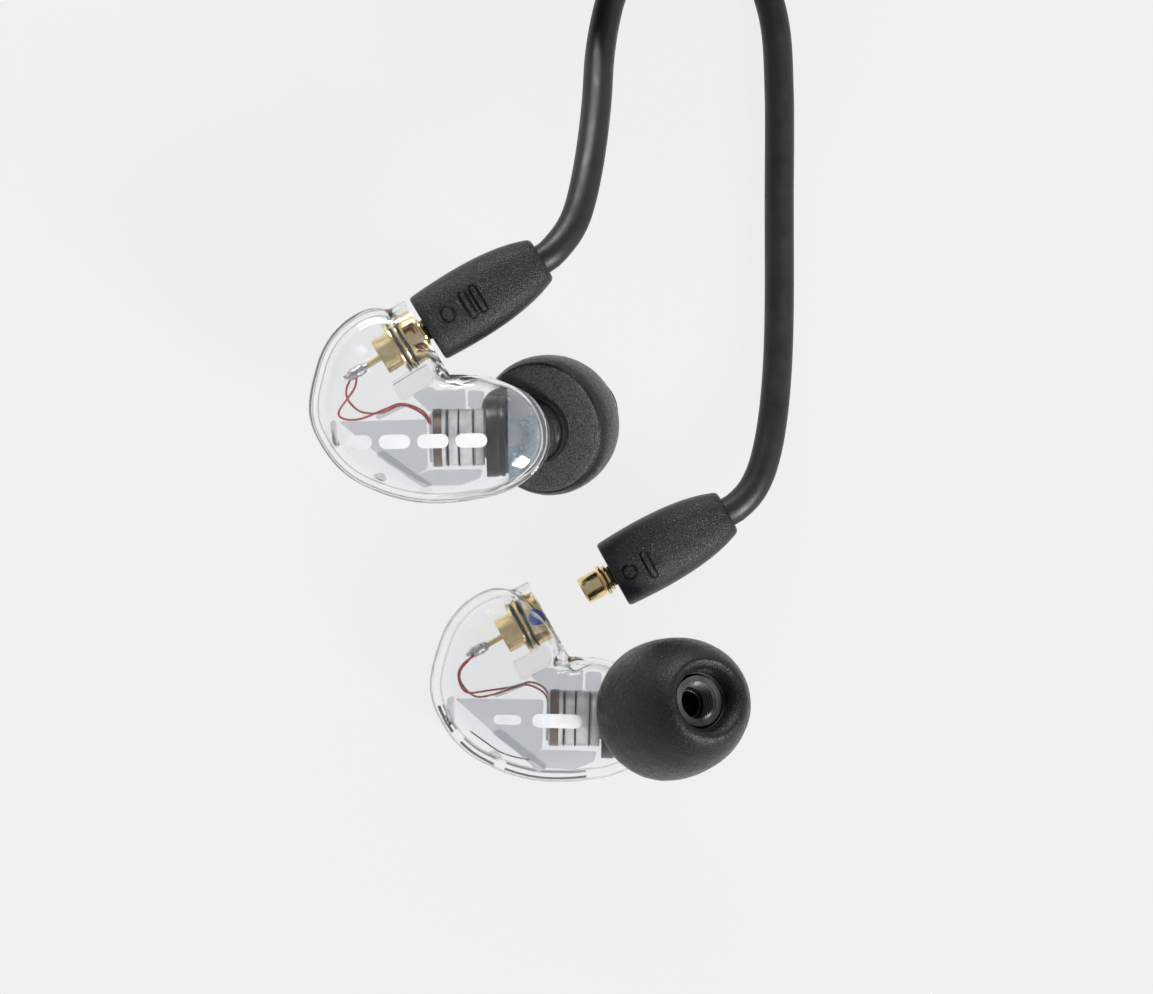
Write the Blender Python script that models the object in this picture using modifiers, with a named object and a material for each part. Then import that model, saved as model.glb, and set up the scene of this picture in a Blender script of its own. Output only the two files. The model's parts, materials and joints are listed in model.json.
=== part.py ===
"""A pair of wired in ear monitors with detachable cables.

Each monitor is a clear two-half housing round a moving-coil driver, with a coaxial snap
connector at the back and a foam sleeve on a hollow stem. The right monitor is plugged in
and rests on its sleeve. The left one is unplugged and rests on its outer face. The two
cable legs are wound side by side into a flat coil and run through a slider into a
splitter. The main cable is wound on top of them, and its 3.5 mm jack plug lies on the coil.

All numbers are millimetres and degrees. The assembly empty scales them to metres.
+Z is up from the surface that everything lies on, and +Y runs along the cables.
"""

import math

import bmesh
import bpy
from mathutils import Matrix, Vector

MILLIMETRE = 0.001
ORIGIN = Vector((-4.30, -1.62, 0.0))
COLLECTION = "in_ear_monitors"

# Housing: a pebble whose outline is drawn through these points, seen from the outer face.
# Its own origin is the middle of the connector socket's face.
OUTLINE_CENTRE = Vector((0.2, -7.4))
OUTLINE = [
    (11.5, -9.9),
    (11.1, -8.0),
    (9.6, -5.9),
    (7.2, -4.7),
    (4.2, -4.0),
    (1.6, -3.1),
    (-1.5, 0.9),
    (-4.2, 2.3),
    (-6.9, 1.3),
    (-8.9, -0.8),
    (-10.1, -3.8),
    (-10.6, -7.6),
    (-9.4, -10.6),
    (-7.6, -12.8),
    (-4.8, -14.5),
    (-1.8, -15.5),
    (1.7, -15.8),
    (4.6, -15.5),
    (7.4, -14.8),
    (9.4, -13.7),
    (11.0, -12.0),
]
OUTER_DEPTH = 3.9
INNER_DEPTH = 6.3
FULLNESS = 3.2
WALL = 0.75
SEAM_GAP = 0.12

# Connector axis in the housing's frame, and the collar round the socket.
CONNECTOR_ANGLE = 30.5
COLLAR_RADIUS = 3.4
COLLAR_LENGTH = 3.4
POCKET_RADIUS = 2.95

# Nozzle: where its axis starts and how far it leans from the housing's depth direction.
NOZZLE_START = Vector((9.0, -9.6, -2.0))
NOZZLE_LEAN = 27.0
NOZZLE_HEADING = 22.0
NECK_END = 3.2
STEM_END = 10.5
STEM_RADIUS = 1.65
FOAM_PROFILE = [
    (2.9, 3.6),
    (5.7, 3.6),
    (6.15, 3.85),
    (6.45, 4.9),
    (6.55, 6.3),
    (6.45, 8.4),
    (6.1, 10.6),
    (5.3, 12.7),
    (4.5, 13.9),
    (3.7, 14.6),
    (3.0, 14.7),
    (2.5, 14.2),
    (2.5, 5.0),
    (2.9, 4.8),
]

# Driver: its axis runs along the housing's X at this height and depth.
DRIVER_Y = -9.75
DRIVER_Z = -1.2
CUP_RADIUS = 2.6
CUP_BACK = 0.4
CUP_FRONT = 5.4
BASKET_RADIUS = 3.7
BASKET_BACK = 5.6
BASKET_FRONT = 7.35

# Connector: the boot's length, and the gap between boot and socket face when plugged in.
BOOT_LENGTH = 12.3
PLUGGED_GAP = 0.45
LEFT_PULLED_OUT = 7.28

# Places of the two monitors on the surface.
RIGHT_PLACE = (-14.06, 15.17)
RIGHT_TURN = 1.0
LEFT_PLACE = (-2.96, -10.87)
LEFT_TURN = -1.5

# Cords.
CORD_RADIUS = 1.4
CORD_REST = 1.45
COIL = (-3.7, 75.0)
COIL_STEP = 2.85
RIGHT_LANES = (10.1, 12.95)
LEFT_LANES = (15.8, 21.5)
TAIL_LANES = (24.35, 27.35)
TAIL_LEAVES = 50
CHAIN_Y = 103.1
SLIDER_X = (-16.0, -10.0)
SPLITTER_X = (-30.0, -16.8)
SPLIT_HEIGHT = 2.3
SPLIT_SPREAD = 2.0
JACK_START = (0.8, 87.6, 10.75)
JACK_WAY = (-0.6, -0.8, -0.015)
FACE_GAP = 0.3
STRAIGHT_START = 1.0

BLACK_RUBBER = ((0.02, 0.02, 0.022), 0.45, 0.0)
BLACK_FOAM = ((0.025, 0.025, 0.027), 0.9, 0.0)
BLACK_PLASTIC = ((0.015, 0.015, 0.015), 0.4, 0.0)
GREY_PLASTIC = ((0.22, 0.22, 0.23), 0.5, 0.0)
WHITE_PLASTIC = ((0.85, 0.85, 0.83), 0.4, 0.0)
CLEAR = ((0.82, 0.85, 0.88), 0.05, 0.0)
GOLD = ((0.83, 0.62, 0.28), 0.2, 1.0)
STEEL = ((0.6, 0.6, 0.6), 0.25, 1.0)
SOLDER = ((0.55, 0.55, 0.57), 0.3, 1.0)
MAGNET = ((0.3, 0.3, 0.32), 0.3, 1.0)
FILM = ((0.75, 0.73, 0.65), 0.3, 0.0)
RED_ENAMEL = ((0.5, 0.03, 0.02), 0.35, 0.0)
BLUE_PAINT = ((0.01, 0.08, 0.5), 0.4, 0.0)
RED_PAINT = ((0.5, 0.02, 0.02), 0.4, 0.0)


def clear_scene():
    for thing in list(bpy.data.objects):
        bpy.data.objects.remove(thing, do_unlink=True)


def collection(name):
    group = bpy.data.collections.new(name)
    bpy.context.scene.collection.children.link(group)
    return group


def material(look):
    """The Principled material for a colour, roughness and metallic value."""
    name = "look_" + "_".join(f"{v:.3f}" for v in (*look[0], look[1], look[2]))
    found = bpy.data.materials.get(name)
    if found:
        return found
    made = bpy.data.materials.new(name)
    made.use_nodes = True
    shader = made.node_tree.nodes["Principled BSDF"]
    shader.inputs["Base Color"].default_value = (*look[0], 1.0)
    shader.inputs["Roughness"].default_value = look[1]
    shader.inputs["Metallic"].default_value = look[2]
    return made


def empty(name, parent=None, matrix=None):
    thing = bpy.data.objects.new(name, None)
    PARTS.objects.link(thing)
    thing.parent = parent
    if matrix:
        thing.matrix_basis = matrix
    return thing


def place(name, data, parent, matrix=None, look=None):
    """An object of the assembly, or with no look a cutter that is left out of it."""
    thing = bpy.data.objects.new(name, data)
    group = PARTS if look else CUTTERS
    group.objects.link(thing)
    thing.parent = parent
    if matrix:
        thing.matrix_basis = matrix
    if look:
        data.materials.append(material(look))
    else:
        thing.hide_render = True
        thing.display_type = "WIRE"
    return thing


def along(start, direction):
    """The matrix that puts a piece's own +Z on a direction, from a start point."""
    turn = Vector(direction).to_track_quat("Z", "Y").to_matrix().to_4x4()
    return Matrix.Translation(Vector(start)) @ turn


def shade(mesh):
    mesh.shade_smooth()
    mesh.set_sharp_from_angle(angle=math.radians(35))


def turned(name, profile, steps, parent, matrix, look):
    """A piece turned about its own Z from (radius, height) points.

    A profile that starts and ends on the axis is a solid piece, any other one a ring.
    """
    size = len(profile)
    area = sum(
        profile[i][0] * profile[(i + 1) % size][1] - profile[(i + 1) % size][0] * profile[i][1]
        for i in range(size)
    )
    points = profile if area < 0 else profile[::-1]
    solid = min(p[0] for p in (profile[0], profile[-1])) == 0
    edges = [(i, i + 1) for i in range(size - 1)]
    if not solid:
        edges.append((size - 1, 0))
    mesh = bpy.data.meshes.new(name)
    mesh.from_pydata([(r, 0.0, z) for r, z in points], edges, [])
    thing = place(name, mesh, parent, matrix, look)
    screw = thing.modifiers.new("turn", "SCREW")
    screw.axis = "Z"
    screw.steps = steps
    screw.render_steps = steps
    screw.use_merge_vertices = True
    screw.merge_threshold = 0.0001
    screw.use_smooth_shade = True
    return thing


def rod(name, radius, low, high, steps, parent, matrix, look):
    profile = [(0.0, high), (radius, high), (radius, low), (0.0, low)]
    return turned(name, profile, steps, parent, matrix, look)


def tube(name, inner, outer, low, high, steps, parent, matrix, look):
    profile = [(outer, high), (outer, low), (inner, low), (inner, high)]
    return turned(name, profile, steps, parent, matrix, look)


def cut(thing, cutter, operation="DIFFERENCE"):
    step = thing.modifiers.new(cutter.name, "BOOLEAN")
    step.object = cutter
    step.operation = operation
    step.solver = "EXACT"


def box(name, low, high, parent, look=None):
    mesh = bpy.data.meshes.new(name)
    shape = bmesh.new()
    bmesh.ops.create_cube(shape, size=1.0)
    middle = (Vector(low) + Vector(high)) / 2
    size = Vector(high) - Vector(low)
    for vertex in shape.verts:
        vertex.co = Vector(c * s for c, s in zip(vertex.co, size)) + middle
    shape.to_mesh(mesh)
    shape.free()
    return place(name, mesh, parent, None, look)


def catmull_rom(p0, p1, p2, p3, t):
    return 0.5 * (
        2 * p1
        + (p2 - p0) * t
        + (2 * p0 - 5 * p1 + 4 * p2 - p3) * t * t
        + (3 * p1 - p0 - 3 * p2 + p3) * t * t * t
    )


def smooth_route(points, spacing):
    """Points about evenly spaced on the smooth curve through a route's own points."""
    knots = [Vector(p) for p in points]
    knots = [2 * knots[0] - knots[1], *knots, 2 * knots[-1] - knots[-2]]
    fine = []
    for i in range(1, len(knots) - 2):
        for step in range(16):
            fine.append(catmull_rom(*knots[i - 1 : i + 3], step / 16))
    fine.append(knots[-2])
    lengths = [0.0]
    for a, b in zip(fine, fine[1:]):
        lengths.append(lengths[-1] + (b - a).length)
    count = max(2, round(lengths[-1] / spacing))
    route = []
    at = 0
    for step in range(count + 1):
        target = lengths[-1] * step / count
        while at < len(fine) - 2 and lengths[at + 1] < target:
            at += 1
        share = (target - lengths[at]) / (lengths[at + 1] - lengths[at])
        route.append(fine[at].lerp(fine[at + 1], min(share, 1.0)))
    return route


def wire(name, points, radius, spacing, parent, look):
    """A cord or wire of one round section along a route, straight at its two ends."""
    data = bpy.data.curves.new(name, "CURVE")
    data.dimensions = "3D"
    data.bevel_depth = radius
    data.bevel_resolution = 2
    data.use_fill_caps = True
    route = [Vector(points[0]), *smooth_route(points[1:-1], spacing), Vector(points[-1])]
    spline = data.splines.new("POLY")
    spline.points.add(len(route) - 1)
    for point, co in zip(spline.points, route):
        point.co = (*co, 1.0)
    return place(name, data, parent, None, look)


def flat_plate(name, outline, thickness, parent, matrix, look):
    data = bpy.data.curves.new(name, "CURVE")
    data.dimensions = "2D"
    data.fill_mode = "BOTH"
    data.extrude = thickness / 2
    spline = data.splines.new("POLY")
    spline.points.add(len(outline) - 1)
    for point, (x, y) in zip(spline.points, outline):
        point.co = (x, y, 0.0, 1.0)
    spline.use_cyclic_u = True
    return place(name, data, parent, matrix, look)


# ---- housing


def outline_radius(heading):
    """The outline's distance from its centre at a heading, smooth through its points."""
    polar = sorted(
        (math.atan2(y - OUTLINE_CENTRE.y, x - OUTLINE_CENTRE.x), math.dist((x, y), OUTLINE_CENTRE))
        for x, y in OUTLINE
    )
    count = len(polar)
    full = 2 * math.pi
    after = next((i for i in range(count) if polar[i][0] > heading), count)

    def knot(i):
        return polar[i % count][0] + full * (i // count), polar[i % count][1]

    a, b = knot(after - 1), knot(after)
    share = (heading - a[0]) / (b[0] - a[0])
    around = [knot(after + k)[1] for k in (-2, -1, 0, 1)]
    return catmull_rom(*around, share)


def pebble(name, parent, inset, look=None, segments=26, rings=14):
    """The housing's outer form, or with an inset the hollow inside it."""
    mesh = bpy.data.meshes.new(name)
    shape = bmesh.new()
    bmesh.ops.create_uvsphere(shape, u_segments=segments, v_segments=rings, radius=1.0)
    for vertex in shape.verts:
        flat = math.hypot(vertex.co.x, vertex.co.y)
        heading = math.atan2(vertex.co.y, vertex.co.x)
        reach = (outline_radius(heading) - inset) * flat ** (2 / FULLNESS)
        depth = (OUTER_DEPTH if vertex.co.z > 0 else INNER_DEPTH) - inset
        height = math.copysign(abs(vertex.co.z) ** (2 / FULLNESS), vertex.co.z) * depth
        vertex.co = (
            OUTLINE_CENTRE.x + reach * math.cos(heading),
            OUTLINE_CENTRE.y + reach * math.sin(heading),
            height,
        )
    shape.to_mesh(mesh)
    shape.free()
    if look:
        shade(mesh)
    return place(name, mesh, parent, None, look)


def connector_frame():
    """Own +Z points out of the socket along the connector's axis."""
    angle = math.radians(CONNECTOR_ANGLE)
    return along((0, 0, 0), (math.cos(angle), math.sin(angle), 0))


def nozzle_frame():
    """Own +Z points along the nozzle, away from the housing."""
    lean = math.radians(NOZZLE_LEAN)
    heading = math.radians(NOZZLE_HEADING)
    direction = (
        math.sin(lean) * math.cos(heading),
        math.sin(lean) * math.sin(heading),
        -math.cos(lean),
    )
    return along(NOZZLE_START, direction)


def driver_frame():
    """Own +Z points along the driver, towards the nozzle."""
    return along((0, DRIVER_Y, DRIVER_Z), (1, 0, 0))


def shell_tools(side, frame):
    """The shapes that are joined to and cut from both halves of a housing."""
    name = f"{side}_tool"
    connector = connector_frame()
    nozzle = nozzle_frame()
    neck = [(0.0, NECK_END), (2.8, NECK_END), (2.9, 1.8), (3.2, -1.5), (0.0, -1.5)]
    reach = 40.0
    half_gap = SEAM_GAP / 2
    return {
        "collar": rod(f"{name}_collar", COLLAR_RADIUS, -COLLAR_LENGTH, 0, 24, frame, connector, None),
        "neck": turned(f"{name}_neck", neck, 20, frame, nozzle, None),
        "hollow": pebble(f"{name}_hollow", frame, WALL),
        "pocket": rod(f"{name}_pocket", POCKET_RADIUS, -4.2, 0.6, 24, frame, connector, None),
        "bore": rod(f"{name}_bore", 1.8, -1.5, NECK_END + 1, 16, frame, nozzle, None),
        "below": box(f"{name}_below", (-reach, -reach, -reach), (reach, reach, half_gap), frame),
        "above": box(f"{name}_above", (-reach, -reach, -half_gap), (reach, reach, reach), frame),
    }


def housing(side, frame):
    tools = shell_tools(side, frame)
    outer = pebble(f"{side}_outer_shell", frame, 0.0, CLEAR)
    cut(outer, tools["collar"], "UNION")
    for tool in ("hollow", "pocket", "below"):
        cut(outer, tools[tool])
    inner = pebble(f"{side}_inner_shell", frame, 0.0, CLEAR)
    for tool in ("collar", "neck"):
        cut(inner, tools[tool], "UNION")
    for tool in ("hollow", "pocket", "bore", "above"):
        cut(inner, tools[tool])


def inner_frame(side, frame):
    """The clear plate under the driver, which parts the front from the back of the housing."""
    outline = [
        (-6.2, -9.0),
        (-4.0, -11.2),
        (-1.0, -13.0),
        (4.4, -13.0),
        (4.4, -6.8),
        (0.8, -5.6),
        (-3.0, -7.0),
    ]
    flat_plate(f"{side}_inner_frame", outline, 0.4, frame, Matrix.Translation((0, 0, -4.2)), CLEAR)


# ---- connector


def socket(side, frame, dot_look):
    axis = connector_frame()
    barrel = [
        (2.4, -0.15),
        (2.4, -1.8),
        (2.0, -1.8),
        (2.0, -2.1),
        (2.6, -2.1),
        (2.6, -2.4),
        (2.0, -2.4),
        (2.0, -2.7),
        (2.6, -2.7),
        (2.6, -3.0),
        (1.7, -3.1),
        (1.7, -4.6),
        (0.95, -4.6),
        (0.95, -3.0),
        (1.65, -3.0),
        (1.65, -0.15),
    ]
    turned(f"{side}_socket_barrel", barrel, 20, frame, axis, GOLD)
    tube(f"{side}_socket_insulator", 0.42, 0.85, -4.5, -3.15, 10, frame, axis, WHITE_PLASTIC)
    contact = [
        (0.0, -2.7),
        (0.4, -2.7),
        (0.4, -1.3),
        (0.62, -1.3),
        (0.62, -3.0),
        (0.3, -3.0),
        (0.3, -6.0),
        (0.0, -6.0),
    ]
    turned(f"{side}_socket_contact", contact, 8, frame, axis, GOLD)
    bead = [
        (0.0, -6.1),
        (0.32, -6.25),
        (0.52, -6.7),
        (0.55, -7.2),
        (0.45, -7.8),
        (0.2, -8.2),
        (0.0, -8.3),
    ]
    turned(f"{side}_solder_joint", bead, 8, frame, axis, SOLDER)
    spot = axis @ Matrix.Translation((0, 0, -0.95))
    centre = spot.to_translation()
    dot = Matrix.Translation((centre.x, centre.y, 0))
    rod(f"{side}_color_dot", 0.7, -2.8, -2.55, 12, frame, dot, dot_look)


def plug(side, frame):
    """The cable's half of the connector. Own +Z points out of the boot's front face."""
    barrel = [
        (1.15, 3.2),
        (1.3, 3.05),
        (1.3, 1.25),
        (1.05, 1.25),
        (1.05, 0.65),
        (1.3, 0.65),
        (1.3, 0.35),
        (1.0, 0.35),
        (1.0, -2.5),
        (0.4, -2.5),
        (0.4, 1.6),
        (0.8, 1.6),
        (0.8, 3.2),
    ]
    turned(f"{side}_plug_barrel", barrel, 16, frame, None, GOLD)
    rod(f"{side}_plug_pin", 0.22, -2.3, 2.9, 8, frame, None, GOLD)
    tube(f"{side}_snap_ring", 1.17, 1.5, 0.77, 1.13, 16, frame, None, GOLD)
    boot = [
        (1.15, -0.5),
        (1.7, -0.5),
        (1.7, 0.0),
        (3.1, 0.0),
        (3.3, -0.25),
        (3.4, -2.5),
        (3.42, -5.0),
        (3.3, -7.2),
        (3.0, -9.3),
        (2.55, -11.0),
        (2.1, -12.0),
        (1.8, -BOOT_LENGTH),
        (0.0, -BOOT_LENGTH),
        (0.0, -2.7),
        (1.15, -2.7),
    ]
    turned(f"{side}_connector_boot", boot, 20, frame, None, BLACK_RUBBER)


# ---- driver, wires and nozzle


def driver(side, frame):
    axis = driver_frame()
    cup = [
        (0.0, CUP_BACK),
        (CUP_RADIUS, CUP_BACK),
        (CUP_RADIUS, CUP_FRONT),
        (2.15, CUP_FRONT),
        (2.15, CUP_BACK + 0.7),
        (0.0, CUP_BACK + 0.7),
    ]
    turned(f"{side}_driver_cup", cup, 20, frame, axis, STEEL)
    rod(f"{side}_driver_magnet", 1.55, CUP_BACK + 0.8, 5.2, 16, frame, axis, MAGNET)
    basket = [
        (BASKET_RADIUS, BASKET_FRONT),
        (BASKET_RADIUS, BASKET_BACK),
        (2.1, BASKET_BACK),
        (2.1, BASKET_BACK + 0.4),
        (3.5, BASKET_BACK + 0.4),
        (3.5, BASKET_FRONT),
    ]
    turned(f"{side}_driver_basket", basket, 20, frame, axis, BLACK_PLASTIC)
    diaphragm = [
        (0.0, 6.7),
        (3.35, 6.6),
        (3.35, 6.45),
        (1.92, 6.45),
        (1.92, 3.6),
        (1.72, 3.6),
        (1.72, 6.45),
        (0.0, 6.45),
    ]
    turned(f"{side}_diaphragm", diaphragm, 16, frame, axis, FILM)


def lead_wires(side, frame):
    first = [
        (-5.9, -4.7, 0.5),
        (-7.0, -6.1, 0.6),
        (-7.7, -7.3, 0.5),
        (-7.1, -8.0, 0.4),
        (-4.8, -7.7, 0.5),
        (-2.0, -6.7, 0.6),
        (-0.4, -7.2, 0.5),
        (0.1, -8.6, 0.3),
    ]
    second = [
        (-7.3, -5.0, -0.2),
        (-7.2, -5.8, -0.3),
        (-6.7, -6.5, -0.4),
        (-5.3, -7.3, -0.4),
        (-3.4, -7.2, -0.3),
        (-1.6, -7.2, -0.3),
        (-0.3, -8.2, -0.3),
        (0.1, -9.4, -0.3),
    ]
    wire(f"{side}_lead_wire_plus", first, 0.1, 1.1, frame, RED_ENAMEL)
    wire(f"{side}_lead_wire_minus", second, 0.1, 1.1, frame, RED_ENAMEL)


def nozzle(side, frame):
    axis = nozzle_frame()
    tube(f"{side}_nozzle_stem", 1.15, STEM_RADIUS, 0.6, STEM_END, 16, frame, axis, GREY_PLASTIC)
    rod(f"{side}_nozzle_damper", 1.0, 5.0, 6.0, 12, frame, axis, WHITE_PLASTIC)
    tube(f"{side}_sleeve_core", 1.8, 2.35, 4.0, 12.7, 16, frame, axis, GREY_PLASTIC)
    turned(f"{side}_foam_sleeve", FOAM_PROFILE, 24, frame, axis, BLACK_FOAM)


def sleeve_reach():
    """How far the sleeve's lowest point is under the connector's axis."""
    lean = math.radians(NOZZLE_LEAN)
    return max(z * math.cos(lean) + r * math.sin(lean) for r, z in FOAM_PROFILE) - NOZZLE_START.z


def monitor(side, xy, turn, height, mirror, dot_look):
    """One monitor. Returns the matrix of its connector's axis in the assembly."""
    flip = Matrix.Diagonal((1, 1, -1 if mirror else 1, 1))
    spin = Matrix.Rotation(math.radians(turn), 4, "Z")
    matrix = Matrix.Translation((*xy, height)) @ spin @ flip
    frame = empty(f"{side}_monitor_frame", ASSEMBLY, matrix)
    housing(side, frame)
    inner_frame(side, frame)
    socket(side, frame, dot_look)
    driver(side, frame)
    lead_wires(side, frame)
    nozzle(side, frame)


def connector(side, xy, turn, height, distance):
    """The cable's connector, its front face at a distance from the monitor's socket."""
    angle = math.radians(CONNECTOR_ANGLE + turn)
    out = Vector((math.cos(angle), math.sin(angle), 0))
    start = Vector((*xy, height)) + out * distance
    frame = empty(f"{side}_connector_frame", ASSEMBLY, along(start, -out))
    plug(side, frame)


# ---- cords


def coil_ring(name, inner, outer, low, high):
    """A bundle of turns beside and on each other, as one ring with its edges taken off."""
    edge = 0.9
    profile = [
        (inner, high - edge),
        (inner + edge, high),
        (outer - edge, high),
        (outer, high - edge),
        (outer, low + edge),
        (outer - edge, low),
        (inner + edge, low),
        (inner, low + edge),
    ]
    matrix = Matrix.Translation((*COIL, 0))
    turned(name, profile, 28, ASSEMBLY, matrix, BLACK_RUBBER)


def on_coil(x, y, z):
    """A point that is given from the coil's centre."""
    return (COIL[0] + x, COIL[1] + y, z)


def straight_out(xy, turn, height, distance):
    """The first two points of a leg, in line with its boot."""
    angle = math.radians(CONNECTOR_ANGLE + turn)
    out = Vector((math.cos(angle), math.sin(angle), 0))
    start = Vector((*xy, height)) + out * (distance + BOOT_LENGTH + FACE_GAP)
    return [start, start + out * STRAIGHT_START]


def leg_tail(lane, sign, across):
    """From a leg's last lane, round the coil and through the slider to the splitter."""
    points = []
    for degrees in range(0, TAIL_LEAVES + 1, 10):
        angle = math.radians(degrees)
        points.append(on_coil(lane * math.cos(angle), lane * math.sin(angle), CORD_REST))
    points += [(x, y, CORD_REST + 0.1) for x, y in across]
    line = CHAIN_Y + sign * SPLIT_SPREAD
    for x in (-4.5, -7.5, -12.0, SPLITTER_X[1] + FACE_GAP + 1, SPLITTER_X[1] + FACE_GAP):
        points.append((x, line, SPLIT_HEIGHT))
    return points


def cords(right_height, left_height):
    right_leg = [
        *straight_out(RIGHT_PLACE, RIGHT_TURN, right_height, PLUGGED_GAP),
        (-0.6, 24.6, 15.6),
        (0.4, 27.2, 14.5),
        (1.25, 31.5, 12.3),
        (1.85, 36.5, 9.2),
        (2.2, 41.5, 6.2),
        (3.0, 46.0, 3.7),
        (4.2, 49.6, 2.0),
        (5.2, 52.2, CORD_REST),
    ]
    left_leg = [
        *straight_out(LEFT_PLACE, LEFT_TURN, left_height, LEFT_PULLED_OUT),
        (16.5, 0.7, 3.7),
        (17.6, 3.2, 3.3),
        (18.4, 7.0, 2.6),
        (18.9, 12.0, 1.9),
        (19.1, 18.0, 1.5),
        (19.1, 28.0, CORD_REST),
        (19.1, 38.0, CORD_REST),
        (18.6, 45.0, CORD_REST),
        (16.6, 51.0, CORD_REST),
        (14.6, 55.2, CORD_REST),
    ]
    wire("right_leg_cord", right_leg, CORD_RADIUS, 5.6, ASSEMBLY, BLACK_RUBBER)
    wire("left_leg_cord", left_leg, CORD_RADIUS, 5.6, ASSEMBLY, BLACK_RUBBER)
    coil_ring("right_leg_coil", RIGHT_LANES[0] - 1.3, RIGHT_LANES[1] + 1.3, 0.05, 2.85)
    coil_ring("left_leg_coil", LEFT_LANES[0] - 1.3, LEFT_LANES[1] + 1.25, 0.05, 2.85)
    right_across = [(8.0, 96.6), (4.0, 99.0), (0.0, 100.6)]
    left_across = [(9.8, 99.2), (5.9, 101.9), (1.5, 104.2)]
    tails = (("right", TAIL_LANES[0], -1, right_across), ("left", TAIL_LANES[1], 1, left_across))
    for side, lane, sign, across in tails:
        tail = leg_tail(lane, sign, across)
        wire(f"{side}_leg_tail", tail, CORD_RADIUS, 4.0, ASSEMBLY, BLACK_RUBBER)
    main_start = [
        (SPLITTER_X[0] - FACE_GAP, CHAIN_Y, SPLIT_HEIGHT),
        (SPLITTER_X[0] - 1.5, CHAIN_Y, SPLIT_HEIGHT),
        (-33.2, 102.8, 1.8),
        (-36.3, 101.5, CORD_REST),
        (-38.6, 98.3, CORD_REST),
        (-39.2, 93.5, CORD_REST),
        (-38.0, 87.5, CORD_REST),
        (-35.5, 81.0, CORD_REST),
        (-32.4, 74.5, CORD_REST),
        (-29.6, 69.5, 1.7),
        (-27.6, 66.4, 2.1),
    ]
    wire("main_cable_start", main_start, CORD_RADIUS, 4.0, ASSEMBLY, BLACK_RUBBER)
    coil_ring("main_cable_coil", RIGHT_LANES[1] - 1.4, LEFT_LANES[1] + 1.4, 2.95, 8.5)
    top = CORD_REST + 3 * COIL_STEP + 0.05
    way = Vector(JACK_WAY)
    end = Vector(JACK_START) - way * FACE_GAP
    main_end = [
        on_coil(21.5, 0.0, top),
        on_coil(21.4, 4.0, top),
        on_coil(20.6, 9.5, top),
        on_coil(17.9, 14.0, top + 0.1),
        on_coil(12.6, 16.4, top + 0.3),
        on_coil(8.0, 15.6, top + 0.6),
        end - way,
        end,
    ]
    wire("main_cable_end", main_end, CORD_RADIUS, 4.0, ASSEMBLY, BLACK_RUBBER)


def splitter():
    """The moulded Y piece, lying flat: wide at the legs and narrow at the main cable."""
    narrow, wide = SPLITTER_X
    half = [(wide, 4.2), (wide - 5.0, 4.2), (narrow + 2.0, 2.4), (narrow, 2.2)]
    outline = half + [(x, -y) for x, y in reversed(half)]
    matrix = Matrix.Translation((0, CHAIN_Y, SPLIT_HEIGHT))
    flat_plate("y_splitter", outline, 2 * SPLIT_HEIGHT, ASSEMBLY, matrix, BLACK_RUBBER)


def slider():
    """The bead that slides on both legs to close them under the chin."""
    low = (SLIDER_X[0], CHAIN_Y - 4.6, 0.0)
    high = (SLIDER_X[1], CHAIN_Y + 4.6, 2 * SPLIT_HEIGHT)
    bead = box("cinch_slider", low, high, ASSEMBLY, BLACK_PLASTIC)
    for sign in (-1, 1):
        start = (SLIDER_X[0] - 2, CHAIN_Y + sign * SPLIT_SPREAD, SPLIT_HEIGHT)
        hole = rod(f"slider_hole_tool_{sign}", 1.7, 0, 10, 14, ASSEMBLY, along(start, (1, 0, 0)), None)
        cut(bead, hole)


def jack():
    """The 3.5 mm stereo plug: a moulded handle, the sleeve contact and the ring and tip."""
    matrix = along(JACK_START, JACK_WAY)
    handle = [
        (0.0, 0.0),
        (1.9, 0.0),
        (2.0, 3.0),
        (3.0, 5.5),
        (3.1, 15.0),
        (2.9, 16.5),
        (1.9, 16.5),
        (1.9, 14.0),
        (0.0, 14.0),
    ]
    turned("jack_handle", handle, 16, ASSEMBLY, matrix, BLACK_RUBBER)
    tube("jack_sleeve_contact", 1.2, 1.75, 14.2, 25.4, 14, ASSEMBLY, matrix, GOLD)
    core = [
        (0.0, 14.4),
        (1.05, 14.4),
        (1.05, 25.6),
        (1.7, 25.6),
        (1.75, 26.2),
        (1.75, 28.6),
        (1.3, 29.3),
        (1.65, 30.2),
        (1.2, 31.4),
        (0.0, 32.0),
    ]
    turned("jack_ring_and_tip", core, 14, ASSEMBLY, matrix, GOLD)


clear_scene()
PARTS = collection(COLLECTION)
CUTTERS = collection("cutters")
TO_ORIGIN = Matrix.Translation(-ORIGIN * MILLIMETRE)
ASSEMBLY = empty("assembly", None, TO_ORIGIN @ Matrix.Scale(MILLIMETRE, 4))

right_height = sleeve_reach()
left_height = OUTER_DEPTH
monitor("right", RIGHT_PLACE, RIGHT_TURN, right_height, False, RED_PAINT)
monitor("left", LEFT_PLACE, LEFT_TURN, left_height, True, BLUE_PAINT)
connector("right", RIGHT_PLACE, RIGHT_TURN, right_height, PLUGGED_GAP)
connector("left", LEFT_PLACE, LEFT_TURN, left_height, LEFT_PULLED_OUT)
cords(right_height, left_height)
splitter()
slider()
jack()
bpy.context.view_layer.update()
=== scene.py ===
"""The look of a pair of wired in ear monitors with detachable cables.

The right monitor is plugged in and stands on its foam sleeve, the left one is unplugged and
lies on its outer face. Shapes are built in millimetres in the assembly's own frame and moved
into the row frame, which is in metres.
"""

import json
import math

import bmesh
import bpy
from mathutils import Matrix, Vector, noise


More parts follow.
